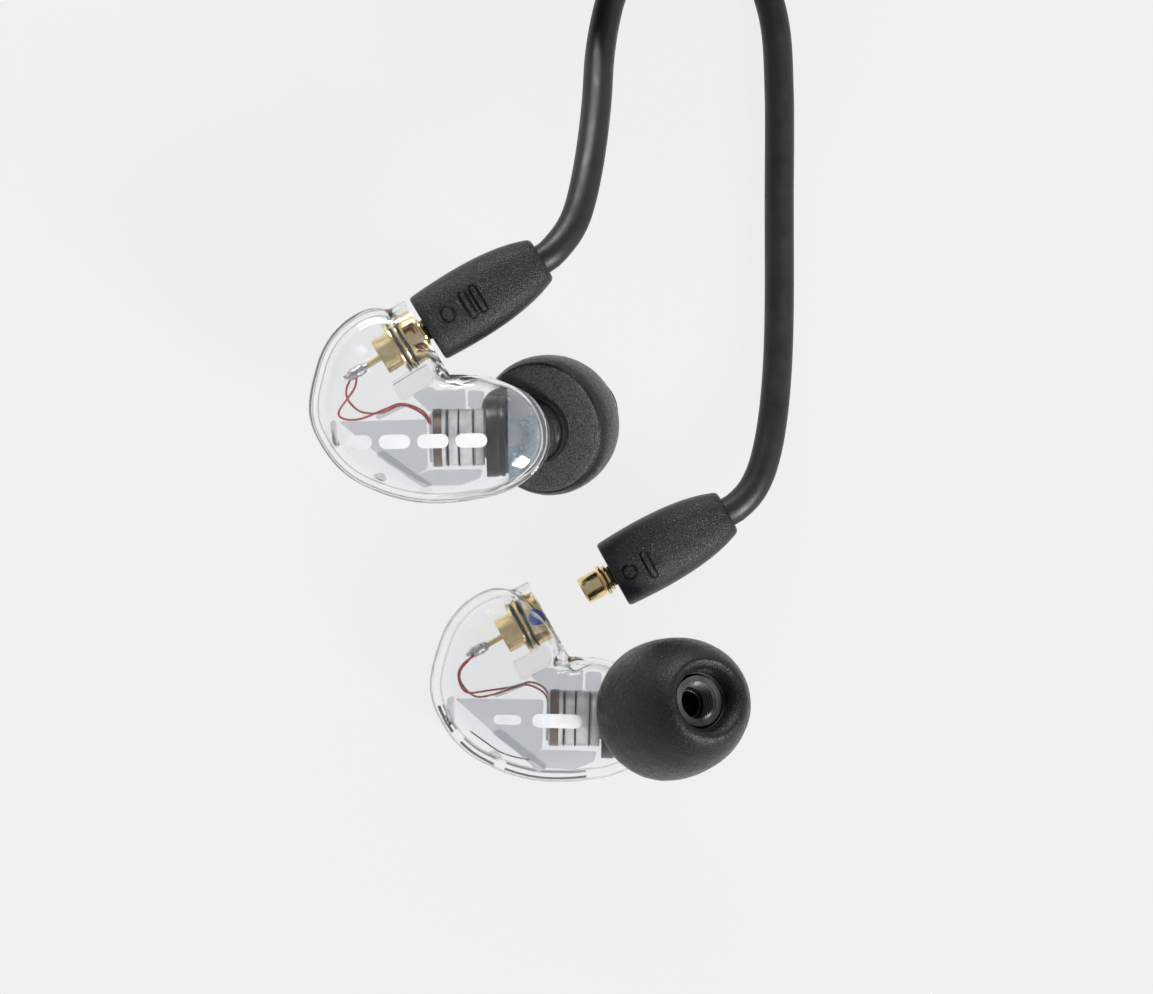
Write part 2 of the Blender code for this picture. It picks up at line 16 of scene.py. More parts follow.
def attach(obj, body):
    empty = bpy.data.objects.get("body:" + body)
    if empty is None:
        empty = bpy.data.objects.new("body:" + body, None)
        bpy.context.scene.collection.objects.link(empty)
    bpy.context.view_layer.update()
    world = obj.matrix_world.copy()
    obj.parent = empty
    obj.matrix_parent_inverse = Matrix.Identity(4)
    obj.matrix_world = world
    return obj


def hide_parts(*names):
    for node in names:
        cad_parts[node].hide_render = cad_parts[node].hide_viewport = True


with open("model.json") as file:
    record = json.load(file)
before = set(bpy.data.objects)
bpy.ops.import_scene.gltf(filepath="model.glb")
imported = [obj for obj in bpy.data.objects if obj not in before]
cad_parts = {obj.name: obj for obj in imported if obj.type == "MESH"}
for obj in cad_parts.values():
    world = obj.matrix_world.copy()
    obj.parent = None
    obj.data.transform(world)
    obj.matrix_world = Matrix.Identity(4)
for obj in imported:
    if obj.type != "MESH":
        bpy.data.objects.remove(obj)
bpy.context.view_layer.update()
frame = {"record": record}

MM = 0.001
ORIGIN = Vector((-4.30, -1.62, 0.0))
TO_ROW = Matrix.Scale(MM, 4) @ Matrix.Translation(-ORIGIN)
TAU = 2 * math.pi

# Housing.
OUTLINE_CENTRE = Vector((0.2, -7.4))
OUTLINE = [
    (11.5, -9.9), (11.1, -8.0), (9.6, -5.9), (7.2, -4.7), (4.2, -4.0), (1.6, -3.1), (-1.5, 0.9),
    (-4.2, 2.3), (-6.9, 1.3), (-8.9, -0.8), (-10.1, -3.8), (-10.6, -7.6), (-9.4, -10.6),
    (-7.6, -12.8), (-4.8, -14.5), (-1.8, -15.5), (1.7, -15.8), (4.6, -15.5), (7.4, -14.8),
    (9.4, -13.7), (11.0, -12.0),
]
OUTER_DEPTH = 3.9
INNER_DEPTH = 6.3
FULLNESS = 3.2
WALL = 0.75
SEAM_GAP = 0.12
CONNECTOR_ANGLE = 30.5
COLLAR_RADIUS = 3.4
COLLAR_LENGTH = 3.4
POCKET_RADIUS = 2.95
NOZZLE_START = Vector((9.0, -9.6, -2.0))
NOZZLE_LEAN = 27.0
NOZZLE_HEADING = 22.0
NECK_END = 3.2
DRIVER_Y = -9.75
DRIVER_Z = -1.2

# Places.
RIGHT_PLACE = (-14.06, 15.17)
RIGHT_TURN = 1.0
RIGHT_HEIGHT = 16.688
LEFT_PLACE = (-2.96, -10.87)
LEFT_TURN = -1.5
LEFT_HEIGHT = OUTER_DEPTH
PLUGGED_GAP = 0.45
LEFT_PULLED_OUT = 7.28
BOOT_LENGTH = 12.3

# Cords.
CORD_RADIUS = 1.4
CORD_REST = 1.45
COIL = (-3.7, 75.0)
COIL_STEP = 2.85
RIGHT_LANES = (10.1, 12.95, 18.65, 24.35)
LEFT_LANES = (15.8, 21.5, 27.2)
# The first part lap and the next share a lane and a row, so the cable overlaps itself there.
MAIN_LANES = (21.5, 21.5, 18.65, 15.8, 12.95, 12.95, 15.8, 18.65, 21.5, 21.5, 18.65)
MAIN_ROWS = (1, 1, 1, 1, 1, 2, 2, 2, 2, 3, 3)
LANE_SHIFT = (300, 345)
TAIL_LEAVES = 50
CHAIN_Y = 103.1
SLIDER_X = (-16.0, -10.0)
SPLITTER_X = (-30.0, -16.8)
SPLIT_HEIGHT = 2.3
SPLIT_SPREAD = 2.0
JACK_START = (0.8, 87.6, 10.75)
JACK_WAY = (-0.6, -0.8, -0.015)

# Camera: straight above the middle of the picture, with a long lens.
VIEW_WIDTH = 106.65
VIEW_TARGET = (4.30, 1.62, 12.0)
LENS = 190.0
SENSOR = 36.0


# ---- helpers


def along(start, direction):
    """The matrix that puts a piece's own +Z on a direction, from a start point."""
    turn = Vector(direction).to_track_quat("Z", "Y").to_matrix().to_4x4()
    return Matrix.Translation(Vector(start)) @ turn


def heading(degrees):
    angle = math.radians(degrees)
    return Vector((math.cos(angle), math.sin(angle), 0.0))


def monitor_frame(xy, turn, height, mirror):
    flip = Matrix.Diagonal((1, 1, -1 if mirror else 1, 1))
    spin = Matrix.Rotation(math.radians(turn), 4, "Z")
    return Matrix.Translation((*xy, height)) @ spin @ flip


def catmull_rom(p0, p1, p2, p3, t):
    return 0.5 * (
        2 * p1
        + (p2 - p0) * t
        + (2 * p0 - 5 * p1 + 4 * p2 - p3) * t * t
        + (3 * p1 - p0 - 3 * p2 + p3) * t * t * t
    )


def smooth_route(points, spacing):
    """Points about evenly spaced on the smooth curve through a route's own points."""
    knots = [Vector(p) for p in points]
    knots = [2 * knots[0] - knots[1], *knots, 2 * knots[-1] - knots[-2]]
    fine = []
    for i in range(1, len(knots) - 2):
        for step in range(16):
            fine.append(catmull_rom(*knots[i - 1 : i + 3], step / 16))
    fine.append(knots[-2])
    lengths = [0.0]
    for a, b in zip(fine, fine[1:]):
        lengths.append(lengths[-1] + (b - a).length)
    count = max(2, round(lengths[-1] / spacing))
    route = []
    at = 0
    for step in range(count + 1):
        target = lengths[-1] * step / count
        while at < len(fine) - 2 and lengths[at + 1] < target:
            at += 1
        share = (target - lengths[at]) / (lengths[at + 1] - lengths[at])
        route.append(fine[at].lerp(fine[at + 1], min(share, 1.0)))
    return route


def smoothstep(t):
    t = min(max(t, 0.0), 1.0)
    return t * t * (3 - 2 * t)


def new_object(name, data, body, look, replaced=()):
    thing = bpy.data.objects.new(name, data)
    bpy.context.scene.collection.objects.link(thing)
    data.materials.clear()
    data.materials.append(look)
    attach(thing, body)
    if replaced:
        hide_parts(*replaced)
    return thing


def finished_mesh(name, shape, matrix, angle=35):
    """A mesh in the row frame from a bmesh in millimetres, smooth except at sharp edges."""
    whole = TO_ROW @ matrix
    shape.transform(whole)
    if whole.determinant() < 0:
        bmesh.ops.reverse_faces(shape, faces=shape.faces)
    mesh = bpy.data.meshes.new(name)
    shape.to_mesh(mesh)
    shape.free()
    mesh.shade_smooth()
    if angle < 180:
        mesh.set_sharp_from_angle(angle=math.radians(angle))
    return mesh


def join_rings(shape, low, high, steps):
    """Faces between two rings of vertices, either of which may be a single point."""
    for k in range(steps):
        n = (k + 1) % steps
        corners = [low[k % len(low)], low[n % len(low)], high[n % len(high)], high[k % len(high)]]
        shape.faces.new(list(dict.fromkeys(corners)))


def lathe(profile, steps=64):
    """A closed body turned about Z from (radius, height) points, outside facing out."""
    size = len(profile)
    area = sum(
        profile[i][0] * profile[(i + 1) % size][1] - profile[(i + 1) % size][0] * profile[i][1]
        for i in range(size)
    )
    points = profile if area > 0 else profile[::-1]
    shape = bmesh.new()
    rings = []
    for radius, height in points:
        if radius == 0:
            rings.append([shape.verts.new((0, 0, height))])
            continue
        angles = [TAU * k / steps for k in range(steps)]
        ring = [(radius * math.cos(a), radius * math.sin(a), height) for a in angles]
        rings.append([shape.verts.new(co) for co in ring])
    for i in range(size):
        low, high = rings[i], rings[(i + 1) % size]
        if len(low) == 1 and len(high) == 1:
            continue
        join_rings(shape, low, high, steps)
    return shape


def rounded(profile, radius, count=3, closed=False):
    """The profile with each corner that turns cut by a small arc of about that radius."""
    size = len(profile)
    result = []
    for i, point in enumerate(profile):
        inner_point = closed or 0 < i < size - 1
        if not inner_point:
            result.append(point)
            continue
        here = Vector(point)
        before = Vector(profile[i - 1]) - here
        after = Vector(profile[(i + 1) % size]) - here
        reach = min(radius, before.length * 0.45, after.length * 0.45)
        start = here + before.normalized() * reach
        end = here + after.normalized() * reach
        for k in range(count + 1):
            t = k / count
            corner = start.lerp(here, t).lerp(here.lerp(end, t), t)
            result.append((corner.x, corner.y))
    return result


def turned(name, profile, matrix, body, look, replaced=(), steps=64, angle=35):
    mesh = finished_mesh(name, lathe(profile, steps), matrix, angle)
    return new_object(name, mesh, body, look, replaced)


def wire(name, points, radius, body, look, replaced=(), sides=4):
    """A wire of one round section through points in millimetres, in the row frame."""
    data = bpy.data.curves.new(name, "CURVE")
    data.dimensions = "3D"
    data.bevel_depth = radius * MM
    data.bevel_resolution = sides
    data.use_fill_caps = True
    spline = data.splines.new("POLY")
    spline.points.add(len(points) - 1)
    for point, co in zip(spline.points, points):
        point.co = (*(TO_ROW @ Vector(co)), 1.0)
    spline.use_smooth = True
    return new_object(name, data, body, look, replaced)


# ---- materials


class Nodes:
    """A material's node tree, with short calls to add and join nodes."""

    def __init__(self, name):
        self.material = bpy.data.materials.new(name)
        self.material.use_nodes = True
        self.tree = self.material.node_tree
        self.shader = self.tree.nodes["Principled BSDF"]
        self.place = self.tree.nodes.new("ShaderNodeTexCoord").outputs["Object"]

    def set(self, **values):
        for key, value in values.items():
            socket = self.shader.inputs[key.replace("_", " ")]
            socket.default_value = (*value, 1.0) if isinstance(value, tuple) else value
        return self

    def noise(self, scale, detail=3.0, roughness=0.55, kind="Noise"):
        node = self.tree.nodes.new(f"ShaderNodeTex{kind}")
        node.inputs["Scale"].default_value = scale
        if kind == "Noise":
            node.inputs["Detail"].default_value = detail
            node.inputs["Roughness"].default_value = roughness
        self.tree.links.new(self.place, node.inputs["Vector"])
        return node.outputs["Distance" if kind == "Voronoi" else "Fac"]

    def ramp(self, source, low, high, low_value, high_value):
        """A map of a value's range to another range."""
        node = self.tree.nodes.new("ShaderNodeMapRange")
        self.tree.links.new(source, node.inputs["Value"])
        values = (low, high, low_value, high_value)
        for key, value in zip(("From Min", "From Max", "To Min", "To Max"), values):
            node.inputs[key].default_value = value
        return node.outputs["Result"]

    def colours(self, source, low, high, dark, light):
        node = self.tree.nodes.new("ShaderNodeValToRGB")
        self.tree.links.new(source, node.inputs["Fac"])
        first, last = node.color_ramp.elements
        first.position, last.position = low, high
        first.color, last.color = (*dark, 1.0), (*light, 1.0)
        self.join(node.outputs["Color"], "Base Color")
        return self

    def join(self, source, key):
        self.tree.links.new(source, self.shader.inputs[key])
        return self

    def bump(self, source, distance, strength=1.0, under=None):
        node = self.tree.nodes.new("ShaderNodeBump")
        node.inputs["Distance"].default_value = distance
        node.inputs["Strength"].default_value = strength
        self.tree.links.new(source, node.inputs["Height"])
        if under:
            self.tree.links.new(under, node.inputs["Normal"])
        return node.outputs["Normal"]


def boot_rubber():
    made = Nodes("boot_rubber").set(Roughness=0.45, Specular_IOR_Level=0.34)
    grain = made.noise(9000, 1.0, 0.5)
    patches = made.noise(420, 3.0)
    made.colours(patches, 0.3, 0.7, (0.004, 0.004, 0.005), (0.010, 0.010, 0.012))
    made.join(made.ramp(grain, 0.3, 0.7, 0.26, 0.46), "Roughness")
    coarse = made.bump(made.noise(3000, 2.0), 0.00004, 0.3)
    return made.join(made.bump(grain, 0.00010, 0.9, coarse), "Normal").material


def cord_rubber():
    made = Nodes("cord_rubber").set(Roughness=0.42, Specular_IOR_Level=0.36)
    patches = made.noise(260, 4.0)
    made.colours(patches, 0.3, 0.7, (0.005, 0.005, 0.006), (0.011, 0.011, 0.012))
    made.join(made.ramp(made.noise(700, 5.0), 0.3, 0.7, 0.34, 0.5), "Roughness")
    return made.join(made.bump(made.noise(5200, 2.0), 0.00002, 0.6), "Normal").material


def sleeve_foam():
    made = Nodes("sleeve_foam").set(Roughness=0.72, Specular_IOR_Level=0.5)
    cells = made.noise(7500, kind="Voronoi")
    patches = made.noise(5200, 3.0, 0.7)
    made.colours(patches, 0.35, 0.68, (0.015, 0.015, 0.017), (0.095, 0.095, 0.10))
    made.join(made.ramp(made.noise(900, 2.0), 0.3, 0.7, 0.6, 0.85), "Roughness")
    return made.join(made.bump(cells, 0.00009, 0.8), "Normal").material


def foam_skin():
    """The sleeve's moulded outer skin: smoother than its cut base."""
    made = Nodes("foam_skin").set(Roughness=0.34, Specular_IOR_Level=0.24)
    cells = made.noise(5200, 3.0, 0.7)
    patches = made.noise(4000, 3.0, 0.7)
    made.colours(patches, 0.35, 0.7, (0.003, 0.003, 0.003), (0.012, 0.012, 0.013))
    made.join(made.ramp(made.noise(2600, 2.0), 0.3, 0.7, 0.22, 0.42), "Roughness")
    return made.join(made.bump(cells, 0.00009, 0.8), "Normal").material


def clear_shell():
    made = Nodes("clear_shell").set(
        Base_Color=(0.985, 0.99, 0.995),
        Roughness=0.035,
        IOR=1.45,
        Transmission_Weight=0.99,
        Specular_IOR_Level=0.5,
    )
    flow = made.noise(160, 2.0)
    made.join(made.ramp(flow, 0.35, 0.7, 0.04, 0.1), "Roughness")
    return made.join(made.bump(flow, 0.0002, 0.12), "Normal").material


def frosted(name, colour, low, high, clear=0.85):
    made = Nodes(name).set(Base_Color=colour, IOR=1.3, Transmission_Weight=clear)
    cloud = made.noise(420, 4.0)
    made.join(made.ramp(cloud, 0.3, 0.7, low, high), "Roughness")
    return made.join(made.bump(cloud, 0.0001, 0.25), "Normal").material


def front_clear():
    """The cloudy clear plastic in front of the driver, with paler and bluer streaks."""
    made = Nodes("front_clear").set(IOR=1.18, Transmission_Weight=0.72)
    made.colours(made.noise(330, 3.0, 0.6), 0.36, 0.62, (0.42, 0.52, 0.62), (0.95, 0.97, 0.99))
    cloud = made.noise(900, 3.0)
    made.join(made.ramp(cloud, 0.3, 0.7, 0.05, 0.3), "Roughness")
    return made.join(made.bump(cloud, 0.0002, 0.3), "Normal").material


def metal(name, dark, light, low, high, scale=900, bump=0.00001):
    made = Nodes(name).set(Metallic=1.0)
    cloud = made.noise(scale, 4.0)
    made.colours(cloud, 0.3, 0.7, dark, light)
    made.join(made.ramp(made.noise(scale * 2.3, 3.0), 0.3, 0.7, low, high), "Roughness")
    return made.join(made.bump(made.noise(scale * 4, 2.0), bump, 0.5), "Normal").material


def plastic(name, dark, light, low, high, scale=800, bump=0.00002, coat=0.0):
    made = Nodes(name).set(Coat_Weight=coat, Coat_Roughness=0.12)
    made.colours(made.noise(scale, 3.0), 0.3, 0.7, dark, light)
    made.join(made.ramp(made.noise(scale * 2.1, 3.0), 0.3, 0.7, low, high), "Roughness")
    return made.join(made.bump(made.noise(scale * 6, 2.0), bump, 0.5), "Normal").material


LOOKS = {
    "boot_rubber": boot_rubber(),
    "cord_rubber": cord_rubber(),
    "sleeve_foam": sleeve_foam(),
    "foam_skin": foam_skin(),
    "clear_shell": clear_shell(),
    "front_clear": front_clear(),
    "grey_clear": frosted("grey_clear", (0.70, 0.72, 0.75), 0.05, 0.15, 0.95),
    "milky_clear": frosted("milky_clear", (0.95, 0.93, 0.93), 0.03, 0.1, 0.99),
    # painted dark reflections: a dark blue-grey colour for the lines drawn inside the left housing
    "painted_reflection_line": plastic("painted_reflection_line", (0.02, 0.035, 0.055), (0.05, 0.08, 0.11), 0.2, 0.4),
    "dark_plastic": plastic("dark_plastic", (0.002, 0.002, 0.002), (0.006, 0.006, 0.006), 0.35, 0.5),
    "driver_band": plastic("driver_band", (0.10, 0.065, 0.045), (0.17, 0.12, 0.09), 0.3, 0.5),
    "driver_can": plastic("driver_can", (0.66, 0.64, 0.64), (0.84, 0.82, 0.82), 0.25, 0.4, 700),
    "gold_plate": metal("gold_plate", (0.80, 0.57, 0.24), (0.97, 0.80, 0.48), 0.1, 0.24),
    "solder_tin": metal("solder_tin", (0.42, 0.42, 0.44), (0.72, 0.72, 0.74), 0.15, 0.4, 1600, 0.00006),
    "driver_steel": metal("driver_steel", (0.62, 0.62, 0.62), (0.86, 0.86, 0.86), 0.14, 0.3),
    "magnet_alloy": metal("magnet_alloy", (0.30, 0.27, 0.24), (0.44, 0.40, 0.35), 0.25, 0.45),
    "white_insulator": plastic("white_insulator", (0.76, 0.76, 0.73), (0.88, 0.88, 0.86), 0.35, 0.5),
    "black_plastic": plastic("black_plastic", (0.008, 0.008, 0.008), (0.02, 0.02, 0.02), 0.3, 0.5),
    "core_plastic": plastic("core_plastic", (0.035, 0.035, 0.037), (0.075, 0.075, 0.078), 0.2, 0.35),
    "grey_plastic": plastic("grey_plastic", (0.10, 0.10, 0.105), (0.18, 0.18, 0.19), 0.3, 0.5),
    "diaphragm_film": plastic("diaphragm_film", (0.62, 0.60, 0.52), (0.78, 0.76, 0.7), 0.2, 0.35),
    "red_enamel": plastic("red_enamel", (0.34, 0.01, 0.01), (0.50, 0.025, 0.022), 0.2, 0.35, coat=0.4),
    "red_mark": plastic("red_mark", (0.42, 0.015, 0.015), (0.55, 0.02, 0.02), 0.3, 0.45, coat=0.3),
    "blue_mark": plastic("blue_mark", (0.006, 0.05, 0.42), (0.012, 0.09, 0.62), 0.3, 0.45, coat=0.3),
    "white_print": plastic("white_print", (0.53, 0.53, 0.54), (0.60, 0.60, 0.61), 0.4, 0.55),
}


# ---- camera and light


def camera():
    lens = bpy.data.cameras.new("camera")
    lens.lens = LENS
    lens.sensor_width = SENSOR
    lens.clip_start = 0.01
    lens.clip_end = 10.0
    thing = bpy.data.objects.new("camera", lens)
    bpy.context.scene.collection.objects.link(thing)
    x, y, z = (v * MM for v in VIEW_TARGET)
    thing.location = (x, y, z + VIEW_WIDTH * MM * LENS / SENSOR)
    bpy.context.scene.camera = thing


def area_light(name, place, target, size, power):
    data = bpy.data.lights.new(name, "AREA")
    data.shape = "RECTANGLE"
    data.size, data.size_y = size
    data.energy = power
    thing = bpy.data.objects.new(name, data)
    bpy.context.scene.collection.objects.link(thing)
    thing.location = place
    aim = Vector(target) - Vector(place)
    thing.rotation_euler = aim.to_track_quat("-Z", "Y").to_euler()


def surroundings():
    scene = bpy.context.scene
    world = bpy.data.worlds.new("studio")
    world.use_nodes = True
    tree = world.node_tree
    place = tree.nodes.new("ShaderNodeTexCoord")
    split = tree.nodes.new("ShaderNodeSeparateXYZ")
    height = tree.nodes.new("ShaderNodeMapRange")
    for key, value in zip(("From Min", "From Max", "To Min", "To Max"), (0.1, 0.7, 0.95, 0.34)):
        height.inputs[key].default_value = value
    tree.links.new(place.outputs["Generated"], split.inputs["Vector"])
    tree.links.new(split.outputs["Z"], height.inputs["Value"])
    tree.links.new(height.outputs["Result"], tree.nodes["Background"].inputs["Strength"])
    tree.nodes["Background"].inputs["Color"].default_value = (0.94, 0.96, 1.0, 1.0)
    scene.world = world
    scene.view_settings.view_transform = "Standard"
    shape = bmesh.new()
    bmesh.ops.create_grid(shape, x_segments=1, y_segments=1, size=2.0)
    mesh = bpy.data.meshes.new("table")
    shape.to_mesh(mesh)
    shape.free()
    table = bpy.data.objects.new("table", mesh)
    scene.collection.objects.link(table)
    table.location = (0, 0, -0.0003)
    look = Nodes("table").set(Base_Color=(0.03, 0.03, 0.03), Roughness=0.9, Specular_IOR_Level=0.0)
    look.set(Emission_Color=(1.0, 1.0, 1.0), Emission_Strength=0.824)
    mesh.materials.append(look.material)
    area_light("key", (-0.12, 0.6, 0.26), (0, 0.02, 0), (0.5, 0.12), 4.6)
    area_light("fill", (0.4, -0.36, 0.38), (0, 0, 0.01), (0.12, 0.3), 6.8)


# ---- cords


def hump(degrees):
    """The share of a step that the turns rise where the legs pass under them."""
    within = degrees % 360
    if within >= 180:
        return min(smoothstep((within - 262) / 28), 1 - smoothstep((within - 348) / 27))
    return 1 - smoothstep((within + 12) / 27)


def coil_points(lanes, rows, start, end, flat_until=0):
    """Points of a coil wound counterclockwise, a lane and a row for each turn.

    A turn moves across to the next one's lane and up to its row in one part of the round,
    and everything there is a step higher, because the legs come in under it.
    """
    points = []
    for degrees in range(start, end + 1, 6):
        lap, within = divmod(degrees, 360)
        radius, row = lanes[lap], rows[lap]
        share = smoothstep((within - LANE_SHIFT[0]) / (LANE_SHIFT[1] - LANE_SHIFT[0]))
        if share > 0 and lap + 1 < len(lanes):
            radius += (lanes[lap + 1] - radius) * share
            if rows[lap + 1] > row:
                side = 1 if lanes[lap] == max(lanes) else -1
                radius += side * 1.5 * math.sin(math.pi * share)
                row += share
        if degrees >= flat_until:
            row += hump(degrees)
        angle = math.radians(degrees)
        place = (radius * math.cos(angle), radius * math.sin(angle))
        points.append((COIL[0] + place[0], COIL[1] + place[1], CORD_REST + row * COIL_STEP))
    return points


def on_coil(x, y, z):
    """A point that is given from the coil's centre."""
    return (COIL[0] + x, COIL[1] + y, z)


def boot_exit(xy, turn, height, distance):
    """Where a leg leaves its boot, and the way it goes."""
    out = heading(CONNECTOR_ANGLE + turn)
    return Vector((*xy, height)) + out * (distance + BOOT_LENGTH), out


RIGHT_ROUTE = [
    (-0.6, 24.6, 15.6), (0.4, 27.2, 14.5), (1.25, 31.5, 12.3), (1.85, 36.5, 9.2), (2.2, 41.5, 6.2),
    (3.0, 46.0, 3.7), (4.2, 49.6, 2.0), (5.2, 52.8, CORD_REST), (6.1, 57.5, CORD_REST),
    (6.4, 63.0, CORD_REST), (6.4, 69.0, CORD_REST),
]
LEFT_ROUTE = [
    (16.5, 0.7, 3.7), (17.6, 3.2, 3.3), (18.4, 7.0, 2.6), (18.9, 12.0, 1.9), (19.1, 18.0, 1.5),
    (19.1, 28.0, CORD_REST), (19.1, 38.0, CORD_REST), (18.6, 45.0, CORD_REST),
    (16.6, 51.0, CORD_REST), (14.2, 56.2, CORD_REST), (12.6, 62.0, CORD_REST),
    (12.1, 69.0, CORD_REST),
]
RIGHT_ACROSS = [(8.0, 96.6), (4.0, 99.0), (0.0, 100.6)]
LEFT_ACROSS = [(9.8, 99.2), (5.9, 101.9), (1.5, 104.2)]


def leg_points(start, out, way, lanes, across, sign):
    """A leg's whole route: out of its boot, round the coil and into the splitter."""
    turns = (len(lanes) - 1) * 360 + TAIL_LEAVES
    keys = [start - out * 0.8, start + out * 0.9, *way]
    keys += coil_points(lanes, [0] * len(lanes), 0, turns, flat_until=180)
    keys += [(x, y, CORD_REST + 0.1) for x, y in across]
    line = CHAIN_Y + sign * SPLIT_SPREAD
    for x in (-4.5, -7.5, -12.0, SPLITTER_X[1] + 1.5, SPLITTER_X[1] - 0.6):
        keys.append((x, line, SPLIT_HEIGHT))
    return smooth_route(keys, 0.8)


def main_points():
    """The main cable's route: out of the splitter, onto the coil and to the jack plug."""
    way = Vector(JACK_WAY)
    end = Vector(JACK_START)
    top = CORD_REST + 3 * COIL_STEP
    keys = [
        (SPLITTER_X[0] + 0.6, CHAIN_Y, SPLIT_HEIGHT),
        (SPLITTER_X[0] - 1.5, CHAIN_Y, SPLIT_HEIGHT - 0.1), (-33.2, 102.8, 1.8),
        (-36.3, 101.5, CORD_REST), (-38.6, 98.3, CORD_REST), (-39.2, 93.5, CORD_REST),
        (-38.0, 87.5, CORD_REST), (-35.5, 81.0, CORD_REST), (-32.4, 74.5, CORD_REST),
        (-29.6, 69.5, 1.7), (-27.2, 65.6, 2.2),
        on_coil(-19.9, -13.4, 3.0),
        on_coil(-14.7, -17.5, 3.9),
        *coil_points(MAIN_LANES, MAIN_ROWS, 246, 10 * 360 + 6),
        on_coil(17.6, 6.9, top + 0.15),
        on_coil(15.0, 10.9, top + 0.3),
        on_coil(11.4, 13.5, top + 0.45),
        on_coil(8.2, 14.4, top + 0.6),
        on_coil(6.4, 14.1, top + 0.7),
        end - way * 1.3,
        end + way * 0.8,
    ]
    return smooth_route(keys, 0.9)


def cord(name, points, nodes, with_pieces=()):
    look = LOOKS["cord_rubber"]
    made = wire(name, points, CORD_RADIUS, "cable", look, nodes, 6)


def cords():
    right = boot_exit(RIGHT_PLACE, RIGHT_TURN, RIGHT_HEIGHT, PLUGGED_GAP)
    left = boot_exit(LEFT_PLACE, LEFT_TURN, LEFT_HEIGHT, LEFT_PULLED_OUT)
    right_leg = leg_points(*right, RIGHT_ROUTE, RIGHT_LANES, RIGHT_ACROSS, -1)
    left_leg = leg_points(*left, LEFT_ROUTE, LEFT_LANES, LEFT_ACROSS, 1)
    parts = ("leg_cord", "leg_coil", "leg_tail")
    cord("right_leg", right_leg, [f"right_{part}" for part in parts])
    cord("left_leg", left_leg, [f"left_{part}" for part in parts])
    nodes = ["main_cable_start", "main_cable_coil", "main_cable_end"]
    cord("main_cable", main_points(), nodes, jack())


# ---- housings


def outline_radius(angle):
    """The outline's distance from its centre at an angle, smooth through its points."""
    polar = OUTLINE_POLAR
    count = len(polar)
    after = next((i for i in range(count) if polar[i][0] > angle), count)

    def knot(i):
        return polar[i % count][0] + TAU * (i // count), polar[i % count][1]

    a, b = knot(after - 1), knot(after)
    around = [knot(after + k)[1] for k in (-2, -1, 0, 1)]
    return catmull_rom(*around, (angle - a[0]) / (b[0] - a[0]))


OUTLINE_POLAR = sorted(
    (math.atan2(y - OUTLINE_CENTRE.y, x - OUTLINE_CENTRE.x), math.dist((x, y), OUTLINE_CENTRE))
    for x, y in OUTLINE
)


def pebble(inset, segments=112, rings=64):
    """The housing's outer form, or with an inset the hollow inside it."""
    shape = bmesh.new()
    bmesh.ops.create_uvsphere(shape, u_segments=segments, v_segments=rings, radius=1.0)
    for vertex in shape.verts:
        flat = math.hypot(vertex.co.x, vertex.co.y)
        angle = math.atan2(vertex.co.y, vertex.co.x)
        reach = (outline_radius(angle) - inset) * flat ** (2 / FULLNESS)
        depth = (OUTER_DEPTH if vertex.co.z > 0 else INNER_DEPTH) - inset
        height = math.copysign(abs(vertex.co.z) ** (2 / FULLNESS), vertex.co.z) * depth
        vertex.co = (
            OUTLINE_CENTRE.x + reach * math.cos(angle),
            OUTLINE_CENTRE.y + reach * math.sin(angle),
            height,
        )
    return shape


def face_height(x, y, depth):
    """How far the housing's face is from the seam's plane over a point."""
    away = Vector((x, y)) - OUTLINE_CENTRE
    share = min(away.length / outline_radius(math.atan2(away.y, away.x)), 1.0)
    return depth * (1 - share**FULLNESS) ** (1 / FULLNESS)


def connector_axis():
    """Own +Z points out of the socket along the connector's axis."""
    return along((0, 0, 0), heading(CONNECTOR_ANGLE))


def nozzle_axis():
    """Own +Z points along the nozzle, away from the housing."""
    lean = math.radians(NOZZLE_LEAN)
    way = heading(NOZZLE_HEADING) * math.sin(lean)
    return along(NOZZLE_START, (way.x, way.y, -math.cos(lean)))


def driver_axis():
    """Own +Z points along the driver, towards the nozzle."""
    return along((0, DRIVER_Y, DRIVER_Z), (1, 0, 0))


def tool(name, shape, matrix=None):
    """A throwaway object for shaping: whoever makes it removes it."""
    if matrix:
        shape.transform(matrix)
    mesh = bpy.data.meshes.new(name)
    shape.to_mesh(mesh)
    shape.free()
    thing = bpy.data.objects.new(name, mesh)
    bpy.context.scene.collection.objects.link(thing)
    return thing


def discard(*things):
    for thing in things:
        bpy.data.objects.remove(thing)


def shaped(thing, others, remesh=0.0, smooth=0):
    """The mesh of a thing after union or difference with others, as a bmesh."""
    for other, operation in others:
        step = thing.modifiers.new(other.name, "BOOLEAN")
        step.object = other
        step.operation = operation
        step.solver = "EXACT"
    if remesh:
        step = thing.modifiers.new("remesh", "REMESH")
        step.mode = "VOXEL"
        step.voxel_size = remesh
    if smooth:
        step = thing.modifiers.new("smooth", "SMOOTH")
        step.factor = 0.5
        step.iterations = smooth
    graph = bpy.context.evaluated_depsgraph_get()
    mesh = bpy.data.meshes.new_from_object(thing.evaluated_get(graph))
    shape = bmesh.new()
    shape.from_mesh(mesh)
    bpy.data.meshes.remove(mesh)
    return shape


def rod(radius, low, high, steps=64):
    return lathe([(0.0, high), (radius, high), (radius, low), (0.0, low)], steps)


def block(low, high):
    shape = bmesh.new()
    bmesh.ops.create_cube(shape, size=1.0)
    middle = (Vector(low) + Vector(high)) / 2
    size = Vector(high) - Vector(low)
    for vertex in shape.verts:
        vertex.co = Vector(c * s for c, s in zip(vertex.co, size)) + middle
    return shape


